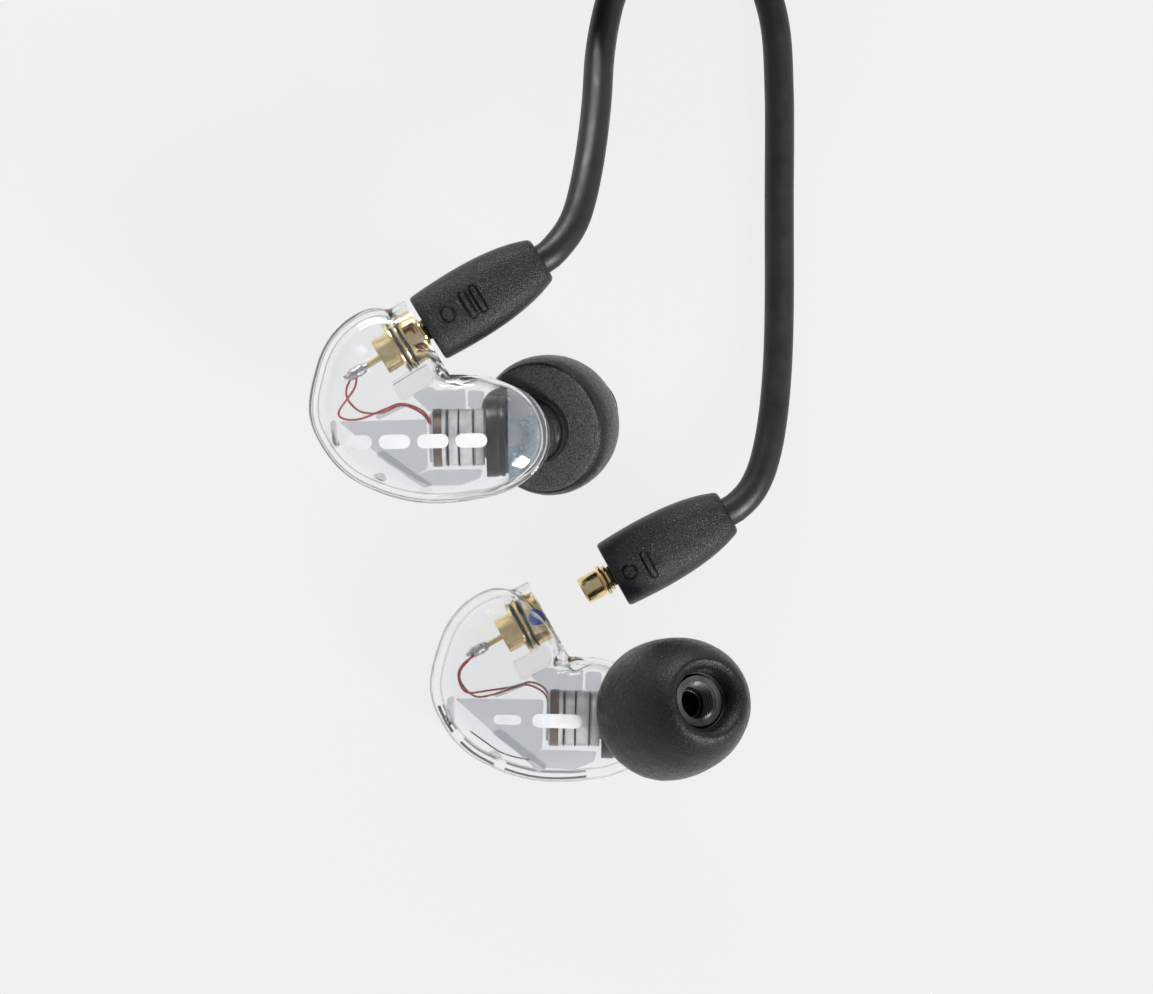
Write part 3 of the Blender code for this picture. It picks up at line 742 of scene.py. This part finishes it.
def housing_halves():
    """Both halves of a housing, with soft fillets round the collar and the neck."""
    connector, nozzle = connector_axis(), nozzle_axis()
    neck = [(0.0, NECK_END + 1), (2.8, NECK_END + 1), (2.9, 1.8), (3.2, -1.5), (0.0, -1.5)]
    reach, half_gap = 40.0, SEAM_GAP / 2
    body = tool("body", pebble(0.0))
    collar = tool("collar", rod(COLLAR_RADIUS, -COLLAR_LENGTH, 1.2), connector)
    neck = tool("neck", lathe(neck), nozzle)
    whole = tool("whole", shaped(body, [(collar, "UNION"), (neck, "UNION")], VOXEL, 16))
    ends = [
        tool("past_collar", rod(6.0, 0.0, 6.0), connector),
        tool("past_neck", rod(6.0, NECK_END, 9.0), nozzle),
        tool("hollow", pebble(WALL)),
        tool("pocket", rod(POCKET_RADIUS, -4.2, 0.6), connector),
        tool("bore", rod(1.8, -1.5, NECK_END + 1), nozzle),
    ]
    below = tool("below", block((-reach, -reach, -reach), (reach, reach, half_gap)))
    above = tool("above", block((-reach, -reach, -half_gap), (reach, reach, reach)))
    halves = []
    for half in (below, above):
        copy = whole.copy()
        copy.data = whole.data.copy()
        bpy.context.scene.collection.objects.link(copy)
        shape = shaped(copy, [(end, "DIFFERENCE") for end in [half, *ends]])
        halves.append(tool("half", shape))
        bpy.data.objects.remove(copy)
    discard(body, collar, neck, whole, below, above, *ends)
    return halves


def housings(halves, frames):
    for half, kind in zip(halves, ("outer_shell", "inner_shell")):
        for side, place in frames.items():
            shape = bmesh.new()
            shape.from_mesh(half.data)
            mesh = finished_mesh(f"{side}_{kind}_clear", shape, place)
            name = f"{side}_{kind}_clear"
            body = f"{side}_monitor"
            new_object(name, mesh, body, LOOKS["clear_shell"], [f"{side}_{kind}"])
        bpy.data.objects.remove(half)


# How far a print's upper and lower side are from the housing's form.
PRINT_LIFTS = (0.035, -0.05)


def print_patch(name, outline, depth, sign, place, body):
    """A thin white printed shape that lies on the housing's face."""
    rings = (1.0, 0.6, 0.25)
    centre = sum((Vector(p) for p in outline), Vector((0, 0))) / len(outline)
    shape = bmesh.new()
    layers = []
    for lift in PRINT_LIFTS:
        layer = []
        for scale in rings:
            points = [centre + (Vector(p) - centre) * scale for p in outline]
            tops = [(p.x, p.y, sign * (face_height(p.x, p.y, depth) + lift)) for p in points]
            layer.append([shape.verts.new(co) for co in tops])
        layers.append(layer)
    count = len(outline)
    for upper, layer in enumerate(layers):
        for outer, inner in zip(layer, layer[1:]):
            for k in range(count):
                n = (k + 1) % count
                face = [outer[k], outer[n], inner[n], inner[k]]
                shape.faces.new(face if not upper else face[::-1])
        shape.faces.new(layer[-1] if not upper else layer[-1][::-1])
    for k in range(count):
        n = (k + 1) % count
        shape.faces.new([layers[0][0][n], layers[0][0][k], layers[1][0][k], layers[1][0][n]])
    bmesh.ops.recalc_face_normals(shape, faces=shape.faces)
    mesh = finished_mesh(name, shape, place)
    new_object(name, mesh, body, LOOKS["white_print"])


def bar_outline(centre, size, count=10):
    """A bar with half-round ends, as a list of points."""
    half, radius = size[0] / 2 - size[1] / 2, size[1] / 2
    points = []
    for k in range(2 * count):
        angle = math.pi * (k % count) / (count - 1) - math.pi / 2 + (math.pi if k >= count else 0)
        side = half if k < count else -half
        points.append((centre[0] + side + radius * math.cos(angle), centre[1] + radius * math.sin(angle)))
    return points


def prints():
    """A plain row of bars on each monitor's face, in place of any lettering."""
    for k in range(4):
        bar = bar_outline((-6.2 + 3.5 * k, -10.1), (2.9, 1.3))
        name = f"right_print_{k}"
        print_patch(name, bar, OUTER_DEPTH, 1, FRAMES["right"], "right_monitor")
    for k, (x, size) in enumerate(((-3.2, (2.6, 0.9)), (1.4, (4.6, 1.3)))):
        bar = bar_outline((x, -9.9), size)
        name = f"left_print_{k}"
        print_patch(name, bar, INNER_DEPTH, -1, FRAMES["left"], "left_monitor")


# ---- connector


def sockets(side, place, dot_look):
    axis = place @ connector_axis()
    body = f"{side}_monitor"
    gold = LOOKS["gold_plate"]
    barrel = [
        (2.4, -0.15), (2.4, -1.8), (2.0, -1.8), (2.0, -2.1), (2.6, -2.1), (2.6, -2.4), (2.0, -2.4),
        (2.0, -2.7), (2.6, -2.7), (2.6, -3.0), (1.7, -3.1), (1.7, -4.6), (0.95, -4.6),
        (0.95, -3.0), (1.65, -3.0), (1.65, -0.15),
    ]
    ring = tool("ring", lathe(rounded(barrel, 0.07, 2, closed=True), 72))
    cutters = []
    for angle in (74, 119, 330):
        turn = Matrix.Rotation(math.radians(angle), 4, "Z")
        way = turn @ Matrix.Translation((0, 0, -0.95)) @ Matrix.Rotation(math.radians(90), 4, "Y")
        square = angle == 74
        shape = block((-0.6, -0.6, 1.2), (0.6, 0.6, 3.2)) if square else rod(0.5, 1.2, 3.2, 32)
        cutters.append((tool("hole", shape, way), "DIFFERENCE"))
    shape = shaped(ring, cutters)
    discard(ring, *(cutter for cutter, _ in cutters))
    mesh = finished_mesh(f"{side}_socket_ring", shape, axis)
    new_object(f"{side}_socket_ring", mesh, body, gold, [f"{side}_socket_barrel"])
    spacer = [(1.98, -1.82), (2.45, -1.86), (2.45, -2.04), (1.98, -2.08)]
    turned(f"{side}_socket_spacer", spacer, axis, body, LOOKS["black_plastic"])
    spacer = [(r, z - 0.6) for r, z in spacer]
    turned(f"{side}_socket_gasket", spacer, axis, body, LOOKS["black_plastic"])
    contact = [
        (0.0, -2.7), (0.4, -2.7), (0.4, -1.3), (0.62, -1.3), (0.62, -3.0), (0.3, -3.0),
        (0.3, -6.0), (0.0, -6.0),
    ]
    contact = rounded(contact, 0.05, 2)
    name = f"{side}_socket_pin"
    turned(name, contact, axis, body, gold, [f"{side}_socket_contact"], 32)
    bead = [
        (0.0, -6.1), (0.3, -6.2), (0.5, -6.6), (0.58, -7.0), (0.5, -7.5), (0.3, -7.9),
        (0.34, -8.15), (0.0, -8.4),
    ]
    shape = lathe(rounded(bead, 0.3, 3), 32)
    for vertex in shape.verts:
        vertex.co *= 1 + 0.1 * noise.noise(vertex.co * 2.5)
    mesh = finished_mesh(f"{side}_solder_bead", shape, axis, 180)
    look = LOOKS["solder_tin"]
    new_object(f"{side}_solder_bead", mesh, body, look, [f"{side}_solder_joint"])
    spot = (connector_axis() @ Matrix.Translation((0, 0, -0.95))).to_translation()
    dot = [(0.0, -2.58), (0.6, -2.6), (0.76, -2.66), (0.76, -2.9), (0.0, -2.9)]
    where = place @ Matrix.Translation((spot.x, spot.y, 0))
    turned(f"{side}_dot", dot, where, body, dot_look, [f"{side}_color_dot"], 40)


def raised(distance, radius, edge, height):
    """A raised shape's height with a shallow groove round it, by distance from its middle."""
    top = height * (1 - smoothstep((distance - radius) / edge))
    groove = 0.5 * height * math.exp(-(((distance - radius - 1.6 * edge) / (0.6 * edge)) ** 2))
    return top - groove


def boot_relief(marks, across, back):
    """The height of a boot's marks over a point of its upper side."""
    (dot_back, dot_across), bars = marks
    height = raised(math.hypot(back - dot_back, across - dot_across), 0.5, 0.1, 0.22)
    for bar_back, bar_across, half in bars:
        over = max(abs(across - bar_across) - half, 0.0)
        height += raised(math.hypot(back - bar_back, over), 0.2, 0.1, 0.22)
    return height


def boot_shape(marks):
    """The connector's boot: a soft-edged square section that narrows to the cord."""
    profile = [
        (0.0, -2.7), (1.15, -2.7), (1.15, -0.5), (1.7, -0.45), (1.72, -0.02), (2.3, 0.0),
        (3.0, 0.0), (3.22, -0.06), (3.32, -0.28), (3.36, -0.8),
    ]
    side = [(3.42, -2.0), (3.46, -3.5), (3.45, -5.0), (3.34, -7.0), (3.08, -9.0), (2.72, -10.6)]
    side = [profile[-1], *side, (2.36, -11.7)]
    smooth = smooth_route([(r, z, 0) for r, z in side], 0.09)
    profile += [(p.x, p.y) for p in smooth[1:]]
    profile += [(2.22, -12.05), (2.0, -12.25), (1.7, -12.3), (1.45, -12.2), (0.0, -12.2)]
    steps = 220
    shape = bmesh.new()
    rings = []
    for radius, height in profile:
        blend = smoothstep((radius - 1.5) / 1.5)
        power = 2 + 0.9 * blend
        ring = []
        for k in range(steps if radius else 1):
            angle = TAU * k / steps
            c, s = math.cos(angle), math.sin(angle)
            reach = radius * 0.985 / (abs(c) ** power + abs(s) ** power) ** (1 / power)
            x, y = reach * c, reach * s
            if y > 1.2 and -9.0 < height < -0.3:
                y += boot_relief(marks, x, -height)
            ring.append(shape.verts.new((x, y, height)))
        rings.append(ring)
    for low, high in zip(rings, rings[1:]):
        join_rings(shape, low, high, steps)
    bmesh.ops.recalc_face_normals(shape, faces=shape.faces)
    return shape


MARKS = {
    "right": ((2.3, -0.1), [(4.3, 0.15, 1.0), (5.4, 0.15, 1.0)]),
    "left": ((1.5, 0.45), [(3.4, 0.7, 1.0)]),
}


def connectors(side, xy, turn, height, distance):
    """The cable's half of the connector: boot, barrel, pin and the snap ring."""
    out = heading(CONNECTOR_ANGLE + turn)
    axis = along(Vector((*xy, height)) + out * distance, -out)
    gold = LOOKS["gold_plate"]
    mesh = finished_mesh(f"{side}_boot", boot_shape(MARKS[side]), axis, 40)
    look = LOOKS["boot_rubber"]
    new_object(f"{side}_boot", mesh, "cable", look, [f"{side}_connector_boot"])
    barrel = [
        (1.15, 3.2), (1.3, 3.05), (1.3, 1.25), (1.05, 1.25), (1.05, 0.65), (1.3, 0.65),
        (1.3, 0.35), (1.0, 0.35), (1.0, -2.5), (0.4, -2.5), (0.4, 1.6), (0.8, 1.6), (0.8, 3.2),
    ]
    barrel = rounded(barrel, 0.06, 2, closed=True)
    turned(f"{side}_plug_tube", barrel, axis, "cable", gold, [f"{side}_plug_barrel"])
    pin = [(0.0, 2.9), (0.12, 2.86), (0.22, 2.6), (0.22, -2.3), (0.0, -2.3)]
    turned(f"{side}_plug_contact", pin, axis, "cable", gold, [f"{side}_plug_pin"], 24)
    ring = rounded([(1.17, 1.13), (1.5, 1.13), (1.5, 0.77), (1.17, 0.77)], 0.14, 4, closed=True)
    name, body = f"{side}_split_ring", f"{side}_swivel_ring"
    turned(name, ring, axis, body, gold, [f"{side}_snap_ring"])
    insulator = [(0.24, 1.5), (0.38, 1.5), (0.38, 0.2), (0.24, 0.2)]
    white = LOOKS["white_insulator"]
    turned(f"{side}_plug_insulator", insulator, axis, "cable", white, (), 24)


# ---- driver, wires and nozzle


DRIVER_BANDS = [
    (0.75, 1.55, "driver_band"), (2.0, 2.12, "dark_plastic"), (3.05, 3.16, "dark_plastic"),
    (4.38, 4.48, "dark_plastic"),
]


def drivers(side, place):
    axis = place @ driver_axis()
    body = f"{side}_monitor"
    cup = [
        (0.0, 0.4), (2.2, 0.4), (2.2, 0.62), (2.6, 0.62), (2.6, 1.9), (2.42, 1.95), (2.42, 2.15),
        (2.6, 2.2), (2.6, 3.0), (2.46, 3.04), (2.46, 3.16), (2.6, 3.2), (2.6, 4.3), (2.42, 4.36),
        (2.42, 4.55), (2.6, 4.6), (2.6, 5.4), (2.15, 5.4), (2.15, 1.1), (0.0, 1.1),
    ]
    cup = rounded(cup, 0.06, 2)
    steel = LOOKS["driver_can"]
    turned(f"{side}_driver_can", cup, axis, body, steel, [f"{side}_driver_cup"], 80)
    for k, (low, high, look) in enumerate(DRIVER_BANDS):
        band = [(2.45, low), (2.66, low), (2.66, high), (2.45, high)]
        band = rounded(band, 0.04, 2, closed=True)
        turned(f"{side}_driver_band_{k}", band, axis, body, LOOKS[look], (), 80)
    magnet = rounded([(0.0, 1.2), (1.55, 1.2), (1.55, 5.2), (0.0, 5.2)], 0.1, 2)
    name = f"{side}_magnet"
    alloy = LOOKS["magnet_alloy"]
    turned(name, magnet, axis, body, alloy, [f"{side}_driver_magnet"], 48)
    basket = [
        (3.7, 7.35), (3.7, 7.0), (3.62, 6.95), (3.62, 6.7), (3.7, 6.65), (3.7, 5.6), (2.1, 5.6),
        (2.1, 6.0), (3.5, 6.0), (3.5, 7.35),
    ]
    basket = rounded(basket, 0.07, 2, closed=True)
    black = LOOKS["dark_plastic"]
    name = f"{side}_basket"
    turned(name, basket, axis, body, black, [f"{side}_driver_basket"], 80)
    film = [
        (0.0, 7.0), (0.8, 6.95), (1.5, 6.72), (1.8, 6.62), (2.2, 6.78), (2.7, 6.8), (3.1, 6.68),
        (3.35, 6.58), (3.35, 6.45), (1.92, 6.45), (1.92, 3.6), (1.72, 3.6), (1.72, 6.45),
        (0.0, 6.45),
    ]
    name, film_body = f"{side}_diaphragm_dome", f"{side}_diaphragm"
    look = LOOKS["diaphragm_film"]
    turned(name, film, axis, film_body, look, [f"{side}_diaphragm"], 64)
    front = tool("front", pebble(WALL + 0.2, 96, 56))
    nose = tool("nose", block((7.6, -20.0, -9.0), (15.0, 0.0, 9.0)))
    bore = tool("bore", rod(2.1, -2.0, 5.0, 40), nozzle_axis())
    shape = shaped(front, [(nose, "INTERSECT"), (bore, "DIFFERENCE")])
    discard(front, nose, bore)
    mesh = finished_mesh(f"{side}_front_chamber", shape, place)
    new_object(f"{side}_front_chamber", mesh, body, LOOKS["front_clear"])


LEAD_RADIUS = 0.1
# Both leads of each monitor: from the solder joint, looping, to the back of the driver.
LEADS = {
    "right": {
        "plus": [
            (-6.1, -3.9, 0.1), (-6.4, -5.2, 0.4), (-7.8, -7.2, 0.5), (-7.3, -7.9, 0.5),
            (-5.8, -7.9, 0.5), (-3.7, -7.1, 0.6), (-2.1, -6.6, 0.6), (-0.3, -7.2, 0.7),
            (0.5, -8.2, 0.7), (0.7, -8.9, 0.6),
        ],
        "minus": [
            (-6.6, -4.1, -0.2), (-7.1, -5.1, -0.3), (-7.0, -6.1, -0.3), (-6.1, -7.1, -0.4),
            (-5.0, -7.4, -0.4), (-3.7, -7.3, -0.3), (-2.1, -6.7, -0.3), (-0.4, -7.4, -0.3),
            (0.4, -8.4, -0.3), (0.6, -9.6, -0.3),
        ],
    },
    "left": {
        "plus": [
            (-6.1, -3.9, 0.1), (-7.6, -5.0, -0.2), (-8.0, -6.2, -0.3), (-7.2, -7.6, -0.4),
            (-5.1, -7.4, -0.5), (-2.5, -6.9, -0.6), (-1.2, -6.5, -0.7), (0.1, -7.0, -0.9),
            (0.7, -8.0, -1.2),
        ],
        "minus": [
            (-6.6, -4.1, -0.2), (-7.8, -5.6, 0.2), (-7.7, -6.8, 0.2), (-6.4, -8.0, 0.2),
            (-4.7, -7.8, 0.1), (-2.5, -7.0, 0.1), (-1.3, -6.8, 0.0), (0.2, -7.6, -0.2),
            (0.6, -9.0, -0.6),
        ],
    },
}


def leads(side, place):
    for kind, points in LEADS[side].items():
        route = [place @ p for p in smooth_route(points, 0.25)]
        look = LOOKS["red_enamel"]
        node = [f"{side}_lead_wire_{kind}"]
        body = f"{side}_monitor"
        wire(f"{side}_lead_{kind}", route, LEAD_RADIUS, body, look, node)


# The plates of the inner frame: outline, lowest and highest point.
FRAME_PLATES = [
    ([(-8.0, -8.1), (-4.5, -11.1), (-1.4, -13.4), (0.1, -12.6), (0.1, -8.0)], -4.2, -3.7),
    ([(-1.2, -5.8), (0.2, -5.1), (3.7, -5.1), (3.7, -7.2), (0.3, -7.3)], -3.2, -2.6),
    ([(3.95, -5.4), (5.4, -5.4), (5.4, -7.1), (3.95, -7.1)], -3.2, -2.4),
    ([(-5.0, -13.2), (-4.0, -12.9), (-3.6, -13.7), (-4.4, -14.0)], -2.4, -1.2),
    ([(-8.7, -8.0), (-8.25, -8.0), (-8.25, -10.6), (-8.7, -10.2)], -3.6, -1.0),
    ([(-4.6, -7.6), (-1.9, -6.4), (-1.7, -6.8), (-4.4, -8.0)], -3.4, -2.0),
    ([(-1.4, -13.4), (0.2, -12.7), (5.2, -12.7), (4.9, -13.6), (3.2, -14.3), (0.2, -14.3)], -3.2, -2.6),
    ([(-4.6, -11.2), (-3.9, -10.8), (0.6, -14.2), (-0.2, -14.5)], -3.6, -1.6),
]
# Painted dark reflections in the left housing, drawn as dark lines: arcs at its inner wall, in degrees
# round the outline, and a thin line at the plates.
LINE_ARCS = [(188, 205), (211, 236), (243, 300)]
THIN_LINE = [(-6.6, -11.1), (-5.3, -12.0), (-3.9, -12.9), (-2.4, -13.4), (-1.0, -13.6)]


def interior(side, place):
    """The inner frame's plates, the block that holds the socket, and the left dark lines."""
    body = f"{side}_monitor"
    whole = bmesh.new()
    for outline, low, high in FRAME_PLATES:
        plate = prism(outline, low, high)
        edges = [edge for edge in plate.edges if edge.calc_face_angle(0) > 1]
        bmesh.ops.bevel(plate, geom=edges, offset=0.12, segments=2, affect="EDGES")
        mesh = bpy.data.meshes.new("plate")
        plate.to_mesh(mesh)
        plate.free()
        whole.from_mesh(mesh)
        bpy.data.meshes.remove(mesh)
    mesh = finished_mesh(f"{side}_frame_plates", whole, place)
    name, node = f"{side}_frame_plates", [f"{side}_inner_frame"]
    new_object(name, mesh, body, LOOKS["grey_clear"], node)
    holder = block((-4.6, -1.9, -5.0), (-2.5, 1.9, -1.3))
    bmesh.ops.bevel(holder, geom=holder.edges[:], offset=0.25, segments=3, affect="EDGES")
    mesh = finished_mesh(f"{side}_socket_block", holder, place @ connector_axis())
    new_object(f"{side}_socket_block", mesh, body, LOOKS["milky_clear"])
    if side == "left":
        lines = []
        for start, end in LINE_ARCS:
            angles = [math.radians(a) for a in range(start, end + 1, 2)]
            reach = [outline_radius((a + math.pi) % TAU - math.pi) - 1.0 for a in angles]
            spots = [(r * math.cos(a), r * math.sin(a)) for r, a in zip(reach, angles)]
            lines.append([(OUTLINE_CENTRE.x + x, OUTLINE_CENTRE.y + y, -2.6) for x, y in spots])
        lines.append([(x, y, -3.0) for x, y in THIN_LINE])
        for k, line in enumerate(lines):
            route = [place @ p for p in smooth_route(line, 0.3)]
            radius = 0.2 if k < len(LINE_ARCS) else 0.06
            # dark wires that paint dark reflections at the inner wall and on the plates
            wire(f"left_seam_glue_{k}", route, radius, body, LOOKS["painted_reflection_line"])


FOAM_GIVE = 0.17
# The foam's outer side, from its base to its lip.
FOAM_SIDE = [
    (6.15, 3.85), (6.45, 4.9), (6.55, 6.3), (6.45, 8.4), (6.1, 10.6), (5.4, 12.6), (4.75, 13.75),
    (4.1, 14.5), (3.55, 14.72), (3.05, 14.4),
]


def foam_profile():
    """The sleeve's section: a flat cut base, a moulded barrel and a rolled lip."""
    outside = smooth_route([(r, z, 0) for r, z in FOAM_SIDE], 0.16)
    profile = [(2.75, 3.6), (3.6, 3.6), (4.6, 3.6), (5.6, 3.6), (5.95, 3.66)]
    profile += [(p.x, p.y) for p in outside]
    profile += [(2.75, 13.7), (2.6, 12.9), (2.5, 11.0), (2.5, 8.0), (2.5, 5.0), (2.6, 4.0)]
    return profile


def give_way(shape):
    """The sleeve that carries its monitor is pushed aside a little towards its far end."""
    lean = math.radians(NOZZLE_LEAN)
    way = Vector((0, -math.cos(lean), -math.sin(lean)))
    for vertex in shape.verts:
        outside = smoothstep((vertex.co.xy.length - 2.6) / 2.5)
        vertex.co += way * FOAM_GIVE * max(vertex.co.z - 3.6, 0) * outside


def sleeves(side, place):
    axis = place @ nozzle_axis()
    body, sleeve = f"{side}_monitor", f"{side}_sleeve"
    stem = [(1.15, 0.6), (1.15, 10.5), (1.65, 10.5), (1.65, 0.6)]
    stem = rounded(stem, 0.15, 3, closed=True)
    dark, node = LOOKS["dark_plastic"], [f"{side}_nozzle_stem"]
    turned(f"{side}_stem", stem, axis, body, dark, node, 56)
    collar = rounded([(1.7, 0.9), (2.1, 0.9), (2.1, 0.4), (1.7, 0.4)], 0.08, 2, closed=True)
    turned(f"{side}_stem_seal", collar, axis, body, dark)
    ring = rounded([(2.86, 2.1), (3.15, 2.15), (3.2, 3.1), (2.86, 3.1)], 0.1, 2, closed=True)
    turned(f"{side}_neck_seal", ring, axis, body, dark)
    damper = rounded([(0.0, 5.0), (1.0, 5.0), (1.0, 6.0), (0.0, 6.0)], 0.1, 2)
    white, node = LOOKS["white_insulator"], [f"{side}_nozzle_damper"]
    turned(f"{side}_damper", damper, axis, body, white, node, 40)
    core = [(2.35, 4.0), (1.8, 4.0)]
    for k in range(5):
        low = 10.2 + 0.5 * k
        core += [(1.8, low), (1.62, low + 0.12), (1.62, low + 0.26), (1.8, low + 0.38)]
    core += [(1.8, 12.7), (2.35, 12.7)]
    node = [f"{side}_sleeve_core"]
    turned(f"{side}_core", core, axis, sleeve, LOOKS["core_plastic"], node, 64)
    shape = lathe(foam_profile(), 128)
    for vertex in shape.verts:
        if vertex.co.z > 3.7:
            vertex.co += vertex.co.normalized() * 0.03 * noise.noise(vertex.co * 1.3)
    if side == "right":
        give_way(shape)
    mesh = finished_mesh(f"{side}_foam", shape, axis, 50)
    look, node = LOOKS["foam_skin"], [f"{side}_foam_sleeve"]
    foam = new_object(f"{side}_foam", mesh, sleeve, look, node)
    mesh.materials.append(LOOKS["sleeve_foam"])
    inverse = (TO_ROW @ axis).inverted()
    for face in mesh.polygons:
        place_on_axis = inverse @ face.center
        if place_on_axis.z < 3.7 or place_on_axis.xy.length < 2.56:
            face.material_index = 1


# ---- splitter, slider and jack


def bevelled(name, shape, width, body, look, replaced):
    """A piece with rounded edges."""
    rough = tool("rough", shape)
    step = rough.modifiers.new("bevel", "BEVEL")
    step.width = width
    step.segments = 5
    step.limit_method = "ANGLE"
    soft = shaped(rough, [])
    bpy.data.objects.remove(rough)
    mesh = finished_mesh(name, soft, Matrix.Identity(4), 50)
    return new_object(name, mesh, body, look, replaced)


def prism(outline, low, high):
    shape = bmesh.new()
    bottom = [shape.verts.new((x, y, low)) for x, y in outline]
    top = [shape.verts.new((x, y, high)) for x, y in outline]
    count = len(outline)
    shape.faces.new(bottom[::-1])
    shape.faces.new(top)
    for k in range(count):
        n = (k + 1) % count
        shape.faces.new([bottom[k], bottom[n], top[n], top[k]])
    bmesh.ops.recalc_face_normals(shape, faces=shape.faces)
    return shape


def splitter():
    narrow, wide = SPLITTER_X
    half = [(wide, 4.2), (wide - 5.0, 4.2), (narrow + 2.0, 2.4), (narrow, 2.2)]
    outline = half + [(x, -y) for x, y in reversed(half)]
    outline = [(x, CHAIN_Y + y) for x, y in outline]
    rubber = LOOKS["boot_rubber"]
    shape = prism(outline, 0.0, 2 * SPLIT_HEIGHT)
    bevelled("splitter_body", shape, 1.1, "cable", rubber, ["y_splitter"])


def slider():
    low = (SLIDER_X[0], CHAIN_Y - 4.6, 0.0)
    high = (SLIDER_X[1], CHAIN_Y + 4.6, 2 * SPLIT_HEIGHT)
    body = tool("bead", block(low, high))
    bevel = body.modifiers.new("bevel", "BEVEL")
    bevel.width = 1.0
    bevel.segments = 5
    holes = []
    for sign in (-1, 1):
        start = (SLIDER_X[0] - 2, CHAIN_Y + sign * SPLIT_SPREAD, SPLIT_HEIGHT)
        holes.append((tool("hole", rod(1.62, 0, 10, 40), along(start, (1, 0, 0))), "DIFFERENCE"))
    for k in range(3):
        x = SLIDER_X[0] + 1.8 + 1.2 * k
        groove = block((x - 0.2, low[1] - 1, high[2] - 0.25), (x + 0.2, high[1] + 1, high[2] + 1))
        holes.append((tool("groove", groove), "DIFFERENCE"))
    shape = shaped(body, holes)
    discard(body, *(hole for hole, _ in holes))
    mesh = finished_mesh("slider_bead", shape, Matrix.Identity(4), 40)
    look = LOOKS["black_plastic"]
    new_object("slider_bead", mesh, "slider", look, ["cinch_slider"])


def jack():
    """The 3.5 mm stereo plug. Returns its pieces."""
    axis = along(JACK_START, JACK_WAY)
    gold = LOOKS["gold_plate"]
    handle = [
        (0.0, 0.0), (1.9, 0.0), (2.0, 3.0), (3.0, 5.5), (3.1, 15.0), (2.9, 16.5), (1.9, 16.5),
        (1.9, 14.0), (0.0, 14.0),
    ]
    handle = rounded(handle, 0.5, 5)
    sleeve = rounded([(1.2, 14.2), (1.75, 14.2), (1.75, 25.4), (1.2, 25.4)], 0.08, 2, closed=True)
    core = [
        (0.0, 14.4), (1.05, 14.4), (1.05, 25.6), (1.7, 25.6), (1.75, 26.2), (1.75, 28.6),
        (1.3, 29.3), (1.65, 30.2), (1.2, 31.4), (0.0, 32.0),
    ]
    core = rounded(core, 0.12, 2)
    rubber = LOOKS["boot_rubber"]
    made = [turned("plug_handle", handle, axis, "cable", rubber, ["jack_handle"])]
    name, node = "plug_sleeve", ["jack_sleeve_contact"]
    made.append(turned(name, sleeve, axis, "cable", gold, node, 48))
    name, node = "plug_tip", ["jack_ring_and_tip"]
    made.append(turned(name, core, axis, "cable", gold, node, 48))
    for k, height in enumerate((25.42, 28.55)):
        band = [(1.1, height), (1.76, height), (1.76, height + 0.3), (1.1, height + 0.3)]
        name = f"plug_band_{k}"
        black = LOOKS["black_plastic"]
        made.append(turned(name, band, axis, "cable", black, (), 48))
    return made


def dress_nodes():
    """Every CAD node that stays gets the look of its slot."""
    for part in frame["record"]["subparts"]:
        node = bpy.data.objects.get(part["node"])
        if node is None:
            continue
        for slot in node.material_slots:
            slot.material = LOOKS[part["material_slot"]]


VOXEL = 0.24
FRAMES = {
    "right": monitor_frame(RIGHT_PLACE, RIGHT_TURN, RIGHT_HEIGHT, False),
    "left": monitor_frame(LEFT_PLACE, LEFT_TURN, LEFT_HEIGHT, True),
}

camera()
surroundings()
cords()
housings(housing_halves(), FRAMES)
for side, place in FRAMES.items():
    sockets(side, place, LOOKS["red_mark" if side == "right" else "blue_mark"])
    drivers(side, place)
    leads(side, place)
    interior(side, place)
    sleeves(side, place)
connectors("right", RIGHT_PLACE, RIGHT_TURN, RIGHT_HEIGHT, PLUGGED_GAP)
connectors("left", LEFT_PLACE, LEFT_TURN, LEFT_HEIGHT, LEFT_PULLED_OUT)
prints()
splitter()
slider()
dress_nodes()
